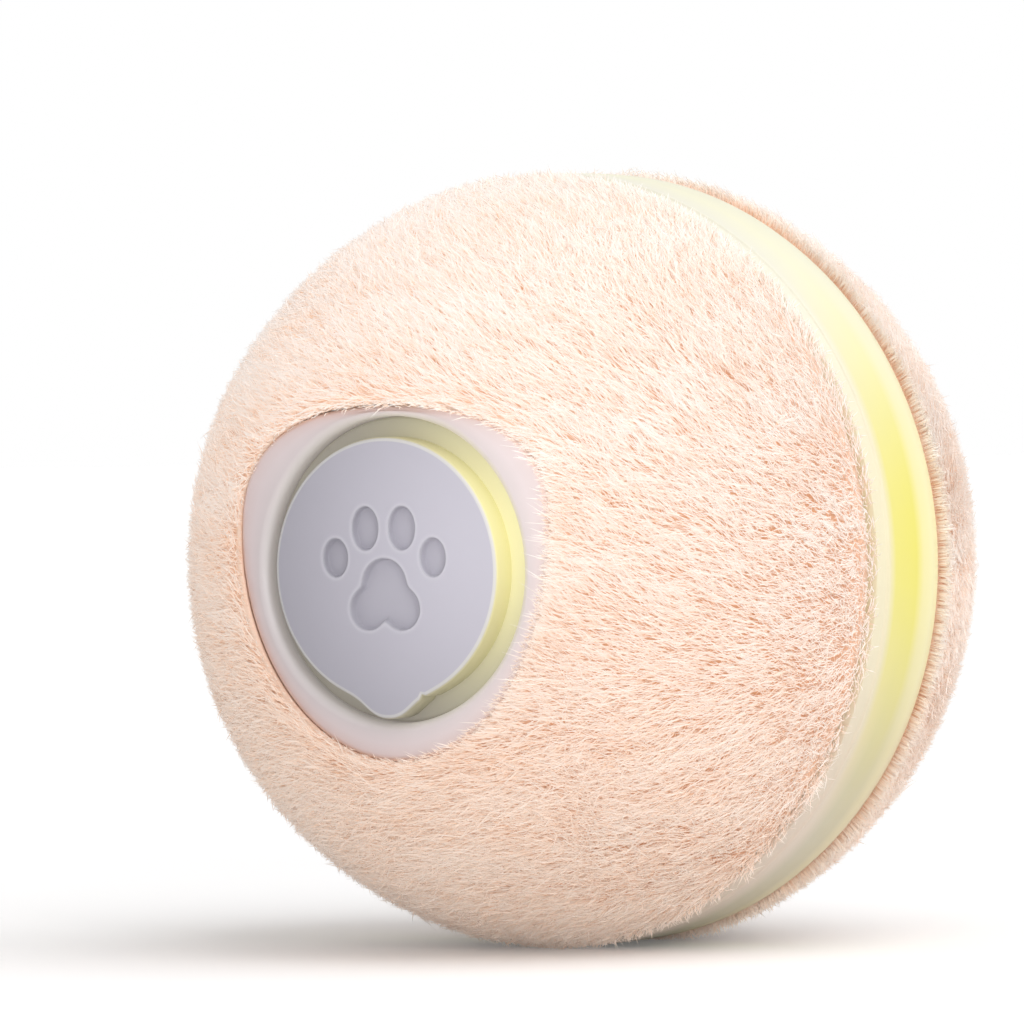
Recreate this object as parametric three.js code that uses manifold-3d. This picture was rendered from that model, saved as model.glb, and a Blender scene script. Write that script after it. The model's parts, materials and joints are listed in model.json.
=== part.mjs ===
// Self rolling cat ball: a plush covered ball that an eccentric weight drives from inside.
// Millimetres, +Z up. The origin is where the ball stands on the floor. The ball's polar axis, which
// is also the axis of its drive, lies along Y: the charging port is at the -Y pole.
import * as THREE from "three";
import { mergeVertices } from "three/addons/utils/BufferGeometryUtils.js";
import Module from "manifold-3d";

const wasm = await Module();
wasm.setup();

// Fits between pieces.
const fitGap = 0.3;
const runningGap = 0.05;
const pressGap = 0.05;
const screwGap = 0.1;
const overrun = 0.4;
const weld = 0.0005;

// Drive stack along the ball's axis: half the weight's bay, the drive plate, two layers of gears, the
// motor plate and the motor. The ball is as large as this stack needs.
const bayHalf = 2.9;
const plateThickness = 1.2;
const bushRise = 0.5;
const gearSpacing = 0.4;
const wheelFace = 1.3;
const motorPlateThickness = 1;
const motorLength = 5.4;
const motorEndRoom = 2.85;
const plateY = bayHalf + fitGap;
const plateBackY = plateY + plateThickness;
const outputWheelY = plateBackY + bushRise + gearSpacing;
const compoundWheelY = outputWheelY + wheelFace + gearSpacing;
const compoundBackY = compoundWheelY + wheelFace;
const motorPlateY = compoundBackY + gearSpacing + gearSpacing;
const motorPlateBackY = motorPlateY + motorPlateThickness;
const motorBackY = motorPlateBackY + motorLength;

// Shells and plush covers round the stack.
const shellWall = 1.3;
const coverGap = 0.3;
const pileThickness = 1.05;
const pileEdgeRound = 0.7;
const cavityRadius = motorBackY + motorEndRoom;
const shellRadius = cavityRadius + shellWall;
const ballRadius = shellRadius + coverGap + pileThickness;

// Grip band round the equator and the light ring under it.
const bandWidth = 6.5;
const treadWidth = 3.9;
const treadDrop = 0.2;
const shoulderDrop = 0.3;
const lipDrop = 0.6;
const lipInset = 0.25;
const pileGap = 0.25;
const rimHalf = 2.6;
const seatShoulder = 0.85;
const spigotLength = 1;
const spigotWall = 0.7;
const treadRadius = ballRadius - treadDrop;
const bandHalf = bandWidth / 2;
const seatHalf = bandHalf + seatShoulder;
const seatRadius = sphereAt(shellRadius, seatHalf);
const spigotRadius = sphereAt(cavityRadius, rimHalf + spigotLength) - fitGap;
const ringInner = spigotRadius - spigotWall;

// Charging port at the -Y pole. Its radii grow from the socket outwards: the well, the light ring, the
// bezel's bore, and the posts and flange that hold the well against the shell.
const socketWidth = 8.94;
const wellSideRoom = 1.13;
const wellWall = 0.7;
const ringWall = 1.1;
const ringFlange = 0.6;
const ringFlangeThickness = 1.4;
const wellPostRadius = 1.2;
const wellFlangeRim = 1.6;
const wellInner = socketWidth / 2 + wellSideRoom;
const wellOuter = wellInner + wellWall;
const lightRingInner = wellOuter + fitGap;
const lightRingOuter = lightRingInner + ringWall;
const lightRingMiddle = (lightRingInner + lightRingOuter) / 2;
const boreRadius = lightRingOuter + fitGap;
const wellPostOrbit = boreRadius + ringFlange + fitGap + wellPostRadius;
const wellFlangeRadius = wellPostOrbit + wellFlangeRim;
const wellFlangeY = -sphereAt(cavityRadius, wellFlangeRadius + fitGap);
const landY = wellFlangeY - ringFlangeThickness - shellWall;

// Bezel and cover. Depths count inwards from the ball's surface, and the bezel's rims outwards from
// the bore.
const rimDepth = 2.9;
const faceDepth = 2.1;
const rimY = -(ballRadius - rimDepth);
const faceY = -(ballRadius - faceDepth);
const bezelSideRim = 1.7;
const bezelTopRim = 0.6;
const bezelBottomRim = 2;
const bezelHalfWidth = boreRadius + bezelSideRim;
const bezelTop = boreRadius + bezelTopRim;
const bezelBottom = boreRadius + bezelBottomRim;
const bezelWidestZ = 1.75;
const bezelTopPowerShare = 2.5;
const bezelBottomPowerShare = 2;
const bezelBevel = 0.45;
const coverThickness = 1;
const coverBackY = faceY + coverThickness;
const wellRimGap = 0.4;
const wellRimY = coverBackY + wellRimGap;

// Depths of the light ring and of the well, with the charging socket and the power key in its floor.
const ringTopDrop = 0.3;
const wellDepth = 1.1;
const wellFloor = 1.2;
const wellFlangeThickness = 1;
const lightRingTopY = wellRimY + ringTopDrop;
const wellFloorY = wellRimY + wellDepth;
const wellFloorBackY = wellFloorY + wellFloor;
const wellBackY = wellFlangeY + wellFlangeThickness;
const lightHoleRadius = 0.8;

// Main board behind the well.
const boardStandoff = 2.3;
const boardThickness = 1;
const boardMargin = 2.4;
const boardY = wellBackY + boardStandoff;
const boardBackY = boardY + boardThickness;
const boardRadius = sphereAt(cavityRadius, boardY) - boardMargin;
const controllerSide = 4;
const chargerSide = 2.6;
const sensorSide = 2;
const chipHeight = 0.8;
const chipAngles = [50, 240, 300].map(THREE.MathUtils.degToRad);

// Charging socket.
const socketHeight = 3.2;
const socketWall = 0.3;
const socketZ = -1.2;
const socketProud = 0.6;
const tongueWidth = 6.7;
const tongueThickness = 0.7;
const tongueSetback = 0.8;
const tongueBase = 1.8;
const socketMouthY = wellFloorY - socketProud;
const socketBore = [socketWidth - 2 * socketWall, socketHeight - 2 * socketWall];

// Power key and its switch.
const keyRadius = 1.3;
const keyZ = 2.9;
const keyProud = 0.4;
const keyCollar = 0.5;
const keyCollarThickness = 0.5;
const keyTravel = 0.4;
const keyFree = 0.05;
const keyGap = 0.25;
const switchSide = 3;
const switchHeight = 1.6;
const plungerRadius = 0.8;
const plungerHeight = 0.5;
const plungerTopY = boardY - switchHeight - plungerHeight;

// Soft port cover, hinged at its top edge. It laps over the light ring.
const coverLap = 0.35;
const coverRadius = lightRingInner + coverLap;
const coverBevel = 0.15;
const tabProud = 0.8;
const tabReach = coverRadius + tabProud;
const tabRadius = 1.9;
const bossGap = 0.5;
const coverBossRadius = wellInner - bossGap;
const coverBossHeight = 0.6;
const plugGap = 0.4;
const plugEntry = 0.5;
const hingeDrop = 0.25;
const hingeZ = coverRadius - hingeDrop;
const pawDepth = 0.3;
const pawWidth = 7.6;
const pawHeight = 6.6;
const padCentreShare = [0, -0.2];
const padSizeShare = [0.3, 0.29];
const toeCentreShares = [[-0.4, 0.1], [-0.15, 0.33], [0.15, 0.33], [0.4, 0.1]];
const toeSizeShares = [[0.1, 0.15], [0.105, 0.17], [0.105, 0.17], [0.1, 0.15]];

// Tether that roots the cover in the wall of the well.
const tetherHalfWidth = 1.6;
const tetherThickness = 0.5;
const tetherFloor = 0.1;
const tetherLip = 0.3;
const tetherNotchGap = 0.2;
const tetherNotchY = wellFloorBackY - tetherFloor;

// Eccentric weight on its carrier, swinging between the battery tray and the drive plate.
const leadChannel = 1.4;
const weightRadius = ringInner - leadChannel;
const weightInner = 4;
const weightHalfAngle = THREE.MathUtils.degToRad(80);
const weightRunGap = 0.2;
const carrierRunGap = 0.4;
const carrierThickness = 1.2;
const carrierRadius = 11.5;
const carrierHalfAngle = THREE.MathUtils.degToRad(42);
const hubRadius = 2.8;
const hubLength = 4;
const weightScrewInset = 2.5;
const weightScrewOrbit = carrierRadius - weightScrewInset;
const weightScrewAngle = THREE.MathUtils.degToRad(24);
const carrierBackY = bayHalf - carrierRunGap;
const carrierY = carrierBackY - carrierThickness;
const weightThickness = carrierY + bayHalf - weightRunGap;

// Screws, and the posts of the shells that they go into.
const screwRadius = 0.55;
const screwHeadRadius = 1;
const screwHeadHeight = 0.55;
const screwLength = 3;
const shortScrewLength = 1.7;
const screwHoleRadius = screwRadius + screwGap;
const plateRadius = ringInner - fitGap;
const postRadius = 1.3;
const postInset = 1.65;
const postOrbit = plateRadius - postInset;
const postAngles = [30, 150, 270].map(THREE.MathUtils.degToRad);
const wellScrewAngles = [90, 225, 315].map(THREE.MathUtils.degToRad);
const boardScrewAngles = [0, 180].map(THREE.MathUtils.degToRad);
const ringLedAngles = [20, 140, 260].map(THREE.MathUtils.degToRad);
const bandLedAngles = [0, 90, 210].map(THREE.MathUtils.degToRad);
const wallSkin = 0.15;

// Battery, its tray and the board of lights beside it. The square cell fills the round tray, and the
// room between the tray and the main board.
const trayWall = 0.8;
const trayFlangeThickness = 1;
const trayDepth = 3.2;
const trayHeadGap = 0.2;
const trayFrontY = -(bayHalf + fitGap);
const trayFloorY = trayFrontY - trayWall;
const trayBackY = trayFrontY - trayDepth;
const trayFlangeY = trayBackY + trayFlangeThickness;
const trayFlangeRadius = sphereAt(cavityRadius, trayBackY) - fitGap;
const trayOuter = postOrbit - screwHeadRadius - trayHeadGap;
const trayInner = trayOuter - trayWall;
const batteryRound = 1.2;
const batteryGap = 0.2;
const batteryRoom = 0.8;
const batterySide = (trayInner - fitGap) * Math.SQRT2;
const batteryFrontY = trayFloorY - batteryGap;
const batteryBackY = boardBackY + batteryRoom;
const ledBoardThickness = 0.8;
const ledBoardTopY = trayFlangeY + ledBoardThickness;
const ledBoardRadius = sphereAt(cavityRadius, ledBoardTopY) - fitGap - fitGap;
const ledSide = 1.2;
const ledHeight = 0.6;

// Gear train. Both stages share one module and one centre distance, and the wheels have as many teeth
// as the compound gear's place inside the shell allows.
const gearModule = 0.3;
const pinionTeeth = 10;
const addendumShare = 0.85;
const dedendumShare = 1.25;
const pressureAngle = THREE.MathUtils.degToRad(20);
const backlash = 0.1;
const centreSlack = 0.04;
const gearMargin = 2.5;
const gearRoom = sphereAt(cavityRadius, compoundBackY) - gearMargin - centreSlack;
const wheelTeeth = Math.floor(gearRoom / gearModule - pinionTeeth / 2 - addendumShare);
const gearDistance = (gearModule * (wheelTeeth + pinionTeeth)) / 2 + centreSlack;
const bushRadius = 2;
const bushCollar = 2.6;
const bushCollarThickness = 0.2;
const shaftRadius = 1;
const pinRadius = 0.6;
const motorPlateMargin = 2.3;
const motorPlateRadius = sphereAt(cavityRadius, motorPlateBackY) - motorPlateMargin;
const pillarRadius = 1.3;
const pillarInset = 1.6;
const pillarOrbit = motorPlateRadius - pillarInset;
const pillarAngles = [0, 180, 270].map(THREE.MathUtils.degToRad);

// Motor on the motor plate.
const motorRadius = 5;
const motorFlatDrop = 1;
const motorWall = 0.5;
const motorShaftRadius = 0.5;
const motorBossRadius = 1.6;
const motorBossHeight = 0.7;
const rotorGap = 0.3;
const rotorSetback = 0.7;
const rotorEndGap = 0.5;
const endCapThickness = 0.6;
const endCapPlug = 0.7;
const motorFlat = motorRadius - motorFlatDrop;
const rotorRadius = motorFlat - motorWall - rotorGap;
const rotorY = motorPlateBackY + motorWall + rotorSetback;
const rotorBackY = motorBackY - endCapPlug - rotorEndGap;

// Leads.
const leadRadius = 0.4;
const leadClearance = 0.35;
const motorLeadAngle = THREE.MathUtils.degToRad(120);
const batteryLeadX = 3;

// Numbers of flats on the round forms, and of steps along the leads.
const bandSides = 48;
const shellSides = 36;
const midSides = 28;
const hubSides = 14;
const smallSides = 10;
const leadSides = 8;
const arcSteps = 7;
const pawSteps = 7;
const socketSteps = 5;
const plugSteps = 4;
const canSteps = 6;
const cornerSteps = 3;
const pinionFlankSteps = 2;
const motorLeadSteps = 36;
const batteryLeadSteps = 10;

const fullTurn = 2 * Math.PI;
const halfTurn = Math.PI;
const quarterTurn = Math.PI / 2;
const downAngle = -quarterTurn;
const pinionHalfPitch = halfTurn / pinionTeeth;

// Radius of a sphere's cross-section at a distance from its centre.
function sphereAt(radius, along) {
  return Math.sqrt(radius * radius - along * along);
}

// Profile points [radius, along] on an arc of a sphere, between two latitudes.
function arc(radius, from, to, steps = arcSteps) {
  return Array.from({ length: steps + 1 }, (_, i) => {
    const a = from + ((to - from) * i) / steps;
    return [Math.max(0, radius * Math.cos(a)), radius * Math.sin(a)];
  });
}

// Revolves a closed profile of [radius, along] points about the Y axis, with a flat side at the bottom.
function lathe(profile, sides = shellSides) {
  const points = profile.map(([radius, along]) => new THREE.Vector2(radius, along));
  if (THREE.ShapeUtils.area(points) < 0) points.reverse();
  points.push(points[0].clone());
  return new THREE.LatheGeometry(points, sides, halfTurn / sides);
}

// Extrudes an XZ outline from fromY towards -Y by depth.
function plate(shape, fromY, depth, options = {}) {
  const made = new THREE.ExtrudeGeometry(shape, { depth, bevelEnabled: false, ...options });
  made.rotateX(quarterTurn);
  made.translate(0, fromY, 0);
  return made;
}

// A rod along Y between two places, centred on (x, z).
function rod(radius, fromY, toY, x = 0, z = 0, sides = smallSides) {
  const made = lathe([[0, fromY], [radius, fromY], [radius, toY], [0, toY]], sides);
  made.translate(x, 0, z);
  return made;
}

// A box between two corners.
function block(low, high) {
  const size = high.map((v, i) => v - low[i]);
  const made = new THREE.BoxGeometry(...size);
  made.translate(...low.map((v, i) => v + size[i] / 2));
  return made;
}

// Turns a closed geometry into a solid that can be joined and cut.
function solidOf(geometry) {
  const bare = new THREE.BufferGeometry();
  bare.setAttribute("position", geometry.getAttribute("position"));
  bare.setIndex(geometry.index);
  const merged = mergeVertices(bare, weld);
  return new wasm.Manifold(
    new wasm.Mesh({
      numProp: 3,
      vertProperties: merged.attributes.position.array,
      triVerts: new Uint32Array(merged.index.array),
    }),
  );
}

function geometryOf(solid) {
  const { vertProperties, triVerts } = solid.getMesh();
  const made = new THREE.BufferGeometry();
  made.setAttribute("position", new THREE.BufferAttribute(vertProperties, 3));
  made.setIndex(new THREE.BufferAttribute(triVerts, 1));
  return made;
}

function join(...geometries) {
  return geometryOf(geometries.map(solidOf).reduce((a, b) => a.add(b)));
}

function cut(geometry, ...tools) {
  return geometryOf(tools.map(solidOf).reduce((a, b) => a.subtract(b), solidOf(geometry)));
}

function place(orbit, angle) {
  return [orbit * Math.cos(angle), orbit * Math.sin(angle)];
}

function stadiumShape(width, height, z = 0) {
  const r = height / 2;
  const run = width / 2 - r;
  const shape = new THREE.Shape();
  shape.absarc(run, z, r, -quarterTurn, quarterTurn);
  shape.absarc(-run, z, r, quarterTurn, quarterTurn + halfTurn);
  return shape;
}

function ellipseShape([x, z], [a, b]) {
  return new THREE.Shape().absellipse(x, z, a, b, 0, fullTurn);
}

// The bezel's outline: a full round top half and a half that narrows downwards, both superellipses.
function bezelShape(grow = 0) {
  const points = Array.from({ length: midSides }, (_, i) => {
    const a = (fullTurn * i) / midSides;
    const c = Math.cos(a);
    const s = Math.sin(a);
    const top = s > 0;
    const power = 2 / (top ? bezelTopPowerShare : bezelBottomPowerShare);
    const reach = top ? bezelTop - bezelWidestZ : bezelBottom + bezelWidestZ;
    const x = (bezelHalfWidth + grow) * Math.sign(c) * Math.abs(c) ** power;
    const z = (reach + grow) * Math.sign(s) * Math.abs(s) ** power;
    return new THREE.Vector2(x, bezelWidestZ + z);
  });
  return new THREE.Shape(points);
}

// The soft cover's outline: a disc with a pull tab blended into it by two tangents.
function coverShape(inset = 0) {
  const big = coverRadius - inset;
  const small = tabRadius - inset;
  const drop = tabReach - tabRadius;
  const lean = Math.acos((big - small) / drop);
  const shape = new THREE.Shape();
  shape.absarc(0, 0, big, downAngle + lean, downAngle - lean + fullTurn);
  shape.absarc(0, -drop, small, downAngle - lean, downAngle + lean);
  return shape;
}

// A gear's outline, with the middle of a tooth at toothAngle. A flank runs straight from root to tip,
// or follows the involute from the base circle in flankSteps steps.
function gearShape(teeth, toothAngle, flankSteps = 0) {
  const pitch = (gearModule * teeth) / 2;
  const tip = pitch + gearModule * addendumShare;
  const root = pitch - gearModule * dedendumShare;
  const base = pitch * Math.cos(pressureAngle);
  const involute = (a) => Math.tan(a) - a;
  const halfAtPitch = (halfTurn / teeth - backlash / pitch) / 2;
  const halfAt = (r) =>
    halfAtPitch + involute(pressureAngle) - involute(Math.acos(Math.min(1, base / r)));
  const flank = flankSteps ? [root] : [root, tip];
  for (let i = 0; i <= flankSteps && flankSteps; i++) flank.push(base + ((tip - base) * i) / flankSteps);
  const points = [];
  for (let k = 0; k < teeth; k++) {
    const middle = toothAngle + (fullTurn * k) / teeth;
    for (const r of flank) points.push([r, middle - halfAt(r)]);
    for (const r of [...flank].reverse()) points.push([r, middle + halfAt(r)]);
  }
  return new THREE.Shape(points.map(([r, a]) => new THREE.Vector2(...place(r, a))));
}

const finishes = {
  shell: { color: 0xf4ece6, roughness: 0.5, metalness: 0 },
  fur: { color: 0xfbe3d2, roughness: 1, metalness: 0 },
  band: { color: 0xf3efb4, roughness: 0.42, metalness: 0 },
  diffuser: { color: 0xfaf6c8, roughness: 0.5, metalness: 0 },
  bezel: { color: 0xe2d6d8, roughness: 0.4, metalness: 0 },
  silicone: { color: 0xc4c2cd, roughness: 0.62, metalness: 0 },
  well: { color: 0xb9b6c0, roughness: 0.5, metalness: 0 },
  board: { color: 0x2c6b45, roughness: 0.45, metalness: 0 },
  chip: { color: 0x1d1d20, roughness: 0.4, metalness: 0 },
  led: { color: 0xf6f2c0, roughness: 0.3, metalness: 0 },
  steel: { color: 0xb4b7bb, roughness: 0.35, metalness: 1 },
  zinc: { color: 0x9b9ea3, roughness: 0.5, metalness: 1 },
  brass: { color: 0xc9a452, roughness: 0.35, metalness: 1 },
  frame: { color: 0xe9e9ea, roughness: 0.5, metalness: 0 },
  gear: { color: 0xf2f0ea, roughness: 0.45, metalness: 0 },
  battery: { color: 0xc7cacf, roughness: 0.35, metalness: 0.6 },
  lead: { color: 0xb3312c, roughness: 0.5, metalness: 0 },
};

const ball = new THREE.Group();
ball.position.z = treadRadius;
const materials = Object.fromEntries(
  Object.entries(finishes).map(([name, look]) => [name, new THREE.MeshStandardMaterial(look)]),
);

function add(name, finish, geometry) {
  const mesh = new THREE.Mesh(geometry, materials[finish]);
  mesh.name = name;
  ball.add(mesh);
}

// A screw along Y. Its head sits at headY and its shank runs towards side, which is 1 or -1.
function screw(name, [x, z], headY, side, length) {
  const neck = headY + side * screwHeadHeight;
  const tip = neck + side * length;
  const profile = [[0, headY], [screwHeadRadius, headY], [screwHeadRadius, neck]];
  profile.push([screwRadius, neck], [screwRadius, tip], [0, tip]);
  const made = lathe(profile, smallSides);
  made.translate(x, 0, z);
  add(name, "steel", made);
}

// Posts that grow out of the shell's wall to carry a plate at fromY.
function shellPosts(side, fromY) {
  const toY = side * (sphereAt(shellRadius, postOrbit + postRadius) - wallSkin);
  return postAngles.map((angle) => rod(postRadius, fromY, toY, ...place(postOrbit, angle)));
}

// Blind screw holes that open at fromY and go depth further, towards side.
function screwHoles(orbit, angles, fromY, side, depth) {
  const open = fromY - side * overrun;
  const end = fromY + side * depth;
  return angles.map((angle) => rod(screwHoleRadius, open, end, ...place(orbit, angle)));
}

function shells() {
  const rimAngle = Math.asin(rimHalf / cavityRadius);
  const seatAngle = Math.asin(seatHalf / shellRadius);
  const rim = [[seatRadius, rimHalf], [seatRadius, seatHalf]];
  const mirror = (profile) => profile.map(([r, y]) => [r, -y]);

  const dome = [...rim, ...arc(shellRadius, seatAngle, quarterTurn).slice(1)];
  dome.push(...arc(cavityRadius, quarterTurn, rimAngle));
  const driveHoles = screwHoles(postOrbit, postAngles, plateBackY, 1, screwLength);
  const driveShell = join(lathe(dome), ...shellPosts(1, plateBackY));
  add("drive_side_shell", "shell", cut(driveShell, ...driveHoles));

  const landAngle = Math.asin(-landY / shellRadius);
  const innerLand = -landY - shellWall;
  const innerAngle = Math.asin(innerLand / cavityRadius);
  const cup = [...rim, ...arc(shellRadius, seatAngle, landAngle).slice(1)];
  cup.push([boreRadius, -landY], [boreRadius, innerLand]);
  cup.push(...arc(cavityRadius, innerAngle, rimAngle));
  const domeY = -sphereAt(shellRadius, wellPostOrbit + wellPostRadius) + wallSkin;
  const wellPostY = Math.max(domeY, landY + shellWall / 2);
  const wellPosts = wellScrewAngles.map((angle) =>
    rod(wellPostRadius, wellFlangeY, wellPostY, ...place(wellPostOrbit, angle)),
  );
  const portShell = join(lathe(mirror(cup)), ...shellPosts(-1, trayBackY), ...wellPosts);
  const trayHoles = screwHoles(postOrbit, postAngles, trayBackY, -1, screwLength);
  const wellHoles = screwHoles(wellPostOrbit, wellScrewAngles, wellFlangeY, -1, shortScrewLength);
  add("port_side_shell", "shell", cut(portShell, ...trayHoles, ...wellHoles));
}

function furCovers() {
  const inner = shellRadius + coverGap;
  const edge = bandHalf + pileGap;
  const innerAngle = Math.asin(edge / inner);
  const roundEnd = Math.asin((edge + pileEdgeRound) / ballRadius);
  const outerStart = sphereAt(ballRadius, edge + pileEdgeRound);
  const dome = [[sphereAt(inner, edge), edge], [outerStart - pileEdgeRound, edge]];
  dome.push([outerStart - pileEdgeRound / 3, edge + pileEdgeRound / 3]);
  dome.push(...arc(ballRadius, roundEnd, quarterTurn, arcSteps + 1));
  dome.push(...arc(inner, quarterTurn, innerAngle).slice(0, -1));
  add("drive_side_fur", "fur", lathe(dome));

  const portDome = lathe(dome.map(([r, y]) => [r, -y]));
  const opening = plate(bezelShape(fitGap), 0, ballRadius + overrun);
  add("port_side_fur", "fur", cut(portDome, opening));
}

function gripBand() {
  const outer = treadRadius / Math.cos(halfTurn / bandSides);
  const inner = seatRadius + fitGap;
  const tread = treadWidth / 2;
  const half = [[inner, bandHalf], [outer - lipDrop, bandHalf]];
  half.push([outer - shoulderDrop, bandHalf - lipInset], [outer, tread]);
  const profile = [...half, ...half.map(([r, y]) => [r, -y]).reverse()];
  add("grip_band", "band", lathe(profile, bandSides));

  const spigotEnd = rimHalf + spigotLength;
  const ring = [[ringInner, spigotEnd], [spigotRadius, spigotEnd], [spigotRadius, rimHalf]];
  ring.push([seatRadius, rimHalf]);
  const ringProfile = [...ring, ...ring.map(([r, y]) => [r, -y]).reverse()];
  add("diffuser_ring", "diffuser", lathe(ringProfile));
}

function portBezel() {
  const shape = bezelShape(-bezelBevel);
  const height = landY - rimY - bezelBevel;
  const look = { bevelEnabled: true, bevelSize: bezelBevel, bevelThickness: bezelBevel };
  const raised = plate(shape, landY, height, { ...look, bevelSegments: 2 });
  const trim = block([-ballRadius, landY, -ballRadius], [ballRadius, 0, ballRadius]);
  const bore = rod(boreRadius, rimY - overrun, 0, 0, 0, midSides);
  add("port_bezel", "bezel", cut(raised, trim, bore));
}

function portLightRing() {
  const flangeY = landY + shellWall;
  const flangeRadius = boreRadius + ringFlange;
  const profile = [[lightRingInner, lightRingTopY], [lightRingOuter, lightRingTopY]];
  profile.push([lightRingOuter, flangeY], [flangeRadius, flangeY]);
  profile.push([flangeRadius, wellFlangeY], [lightRingInner, wellFlangeY]);
  add("port_light_ring", "diffuser", lathe(profile, midSides));
}

function portWell() {
  const cup = [[0, wellFloorY], [wellInner, wellFloorY], [wellInner, wellRimY]];
  cup.push([wellOuter, wellRimY], [wellOuter, wellFlangeY], [wellFlangeRadius, wellFlangeY]);
  cup.push([wellFlangeRadius, wellBackY], [wellInner, wellBackY], [wellInner, wellFloorBackY]);
  cup.push([0, wellFloorBackY]);
  const posts = boardScrewAngles.map((angle) =>
    rod(wellPostRadius, wellBackY - overrun, boardY, ...place(wellPostOrbit, angle)),
  );
  const socketHole = stadiumShape(socketWidth + fitGap, socketHeight + fitGap, socketZ);
  const through = wellFloor + 2 * overrun;
  const tetherSide = tetherHalfWidth + tetherNotchGap;
  const notchLow = [-tetherSide, wellRimY - overrun, wellInner - overrun];
  const notchHigh = [tetherSide, tetherNotchY, wellOuter + overrun];
  const windows = ringLedAngles.map((angle) =>
    rod(lightHoleRadius, wellFlangeY - overrun, wellBackY + overrun, ...place(lightRingMiddle, angle)),
  );
  const wellHoles = wellScrewAngles.map((angle) =>
    rod(screwHoleRadius, wellFlangeY - overrun, wellBackY + overrun, ...place(wellPostOrbit, angle)),
  );
  const boardHoles = screwHoles(wellPostOrbit, boardScrewAngles, boardY, -1, shortScrewLength);
  add(
    "port_well",
    "well",
    cut(
      join(lathe(cup, midSides), ...posts),
      plate(socketHole, wellFloorBackY + overrun, through),
      rod(keyRadius + fitGap, wellFloorY - overrun, wellFloorBackY + overrun, 0, keyZ),
      block(notchLow, notchHigh),
      ...windows,
      ...wellHoles,
      ...boardHoles,
    ),
  );
}

// The cover's disc with a debossed paw, the boss that enters the well and the plug for the socket.
function portCover() {
  const look = { bevelEnabled: true, bevelSize: coverBevel, bevelThickness: coverBevel };
  const face = coverThickness - 2 * coverBevel;
  const smooth = { bevelSegments: 1, curveSegments: hubSides };
  const disc = plate(coverShape(coverBevel), coverBackY - coverBevel, face, { ...look, ...smooth });
  const boss = rod(coverBossRadius, coverBackY - overrun, coverBackY + coverBossHeight, 0, 0, midSides);
  const plugEndY = socketMouthY + plugEntry;
  const plugSize = socketBore.map((size) => size - 2 * plugGap);
  const plugShape = stadiumShape(...plugSize, socketZ);
  const plug = plate(plugShape, plugEndY, plugEndY - coverBackY, { curveSegments: plugSteps });
  const scaled = ([x, z]) => [x * pawWidth, z * pawHeight];
  const marks = [[padCentreShare, padSizeShare]];
  toeCentreShares.forEach((centre, i) => marks.push([centre, toeSizeShares[i]]));
  const pockets = marks.map(([centre, size]) =>
    plate(ellipseShape(scaled(centre), scaled(size)), faceY + pawDepth, pawDepth + overrun, {
      curveSegments: pawSteps,
    }),
  );
  add("port_cover", "silicone", cut(join(disc, boss, plug), ...pockets));

  const tetherZ = (wellInner + wellOuter - tetherThickness) / 2;
  const lipY = wellRimY - tetherLip / 2;
  const strapLow = [-tetherHalfWidth, lipY, tetherZ];
  const strapEndY = tetherNotchY - tetherNotchGap;
  const strapHigh = [tetherHalfWidth, strapEndY, tetherZ + tetherThickness];
  const lipHigh = [tetherHalfWidth, lipY + tetherLip, hingeZ - coverBevel];
  add("cover_tether", "silicone", join(block(strapLow, strapHigh), block(strapLow, lipHigh)));
}

function powerKey() {
  const topY = wellFloorY - keyProud;
  const collarY = wellFloorY + wellFloor + keyGap;
  const endY = plungerTopY - keyTravel - keyFree;
  const collar = keyRadius + keyCollar;
  const profile = [[0, topY], [keyRadius, topY], [keyRadius, collarY], [collar, collarY]];
  profile.push([collar, collarY + keyCollarThickness], [keyRadius / 2, collarY + keyCollarThickness]);
  profile.push([keyRadius / 2, endY], [0, endY]);
  const key = lathe(profile, hubSides);
  key.translate(0, 0, keyZ);
  add("power_key", "well", key);

  const half = switchSide / 2;
  const bodyTopY = boardY - switchHeight;
  const body = block([-half, bodyTopY, keyZ - half], [half, boardY, keyZ + half]);
  const plunger = rod(plungerRadius, plungerTopY, bodyTopY + overrun, 0, keyZ);
  add("tact_switch", "chip", join(body, plunger));
}

function chargingSocket() {
  const outline = stadiumShape(socketWidth, socketHeight, socketZ);
  outline.holes.push(stadiumShape(...socketBore, socketZ));
  const look = { curveSegments: socketSteps };
  add("usb_port", "steel", plate(outline, boardY, boardY - socketMouthY, look));

  const baseShape = stadiumShape(...socketBore.map((size) => size - fitGap), socketZ);
  const base = plate(baseShape, boardY, tongueBase, look);
  const low = [-tongueWidth / 2, socketMouthY + tongueSetback, socketZ - tongueThickness / 2];
  const high = [tongueWidth / 2, boardY - tongueBase + overrun, socketZ + tongueThickness / 2];
  add("usb_tongue", "chip", join(base, block(low, high)));
}

// A chip or lamp standing on a board: a square block of side and height centred on (x, z).
function chip(name, finish, side, height, boardFaceY, facing, [x, z]) {
  const topY = boardFaceY + facing * height;
  const low = [x - side / 2, Math.min(boardFaceY, topY), z - side / 2];
  const high = [x + side / 2, Math.max(boardFaceY, topY), z + side / 2];
  add(name, finish, block(low, high));
}

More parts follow.
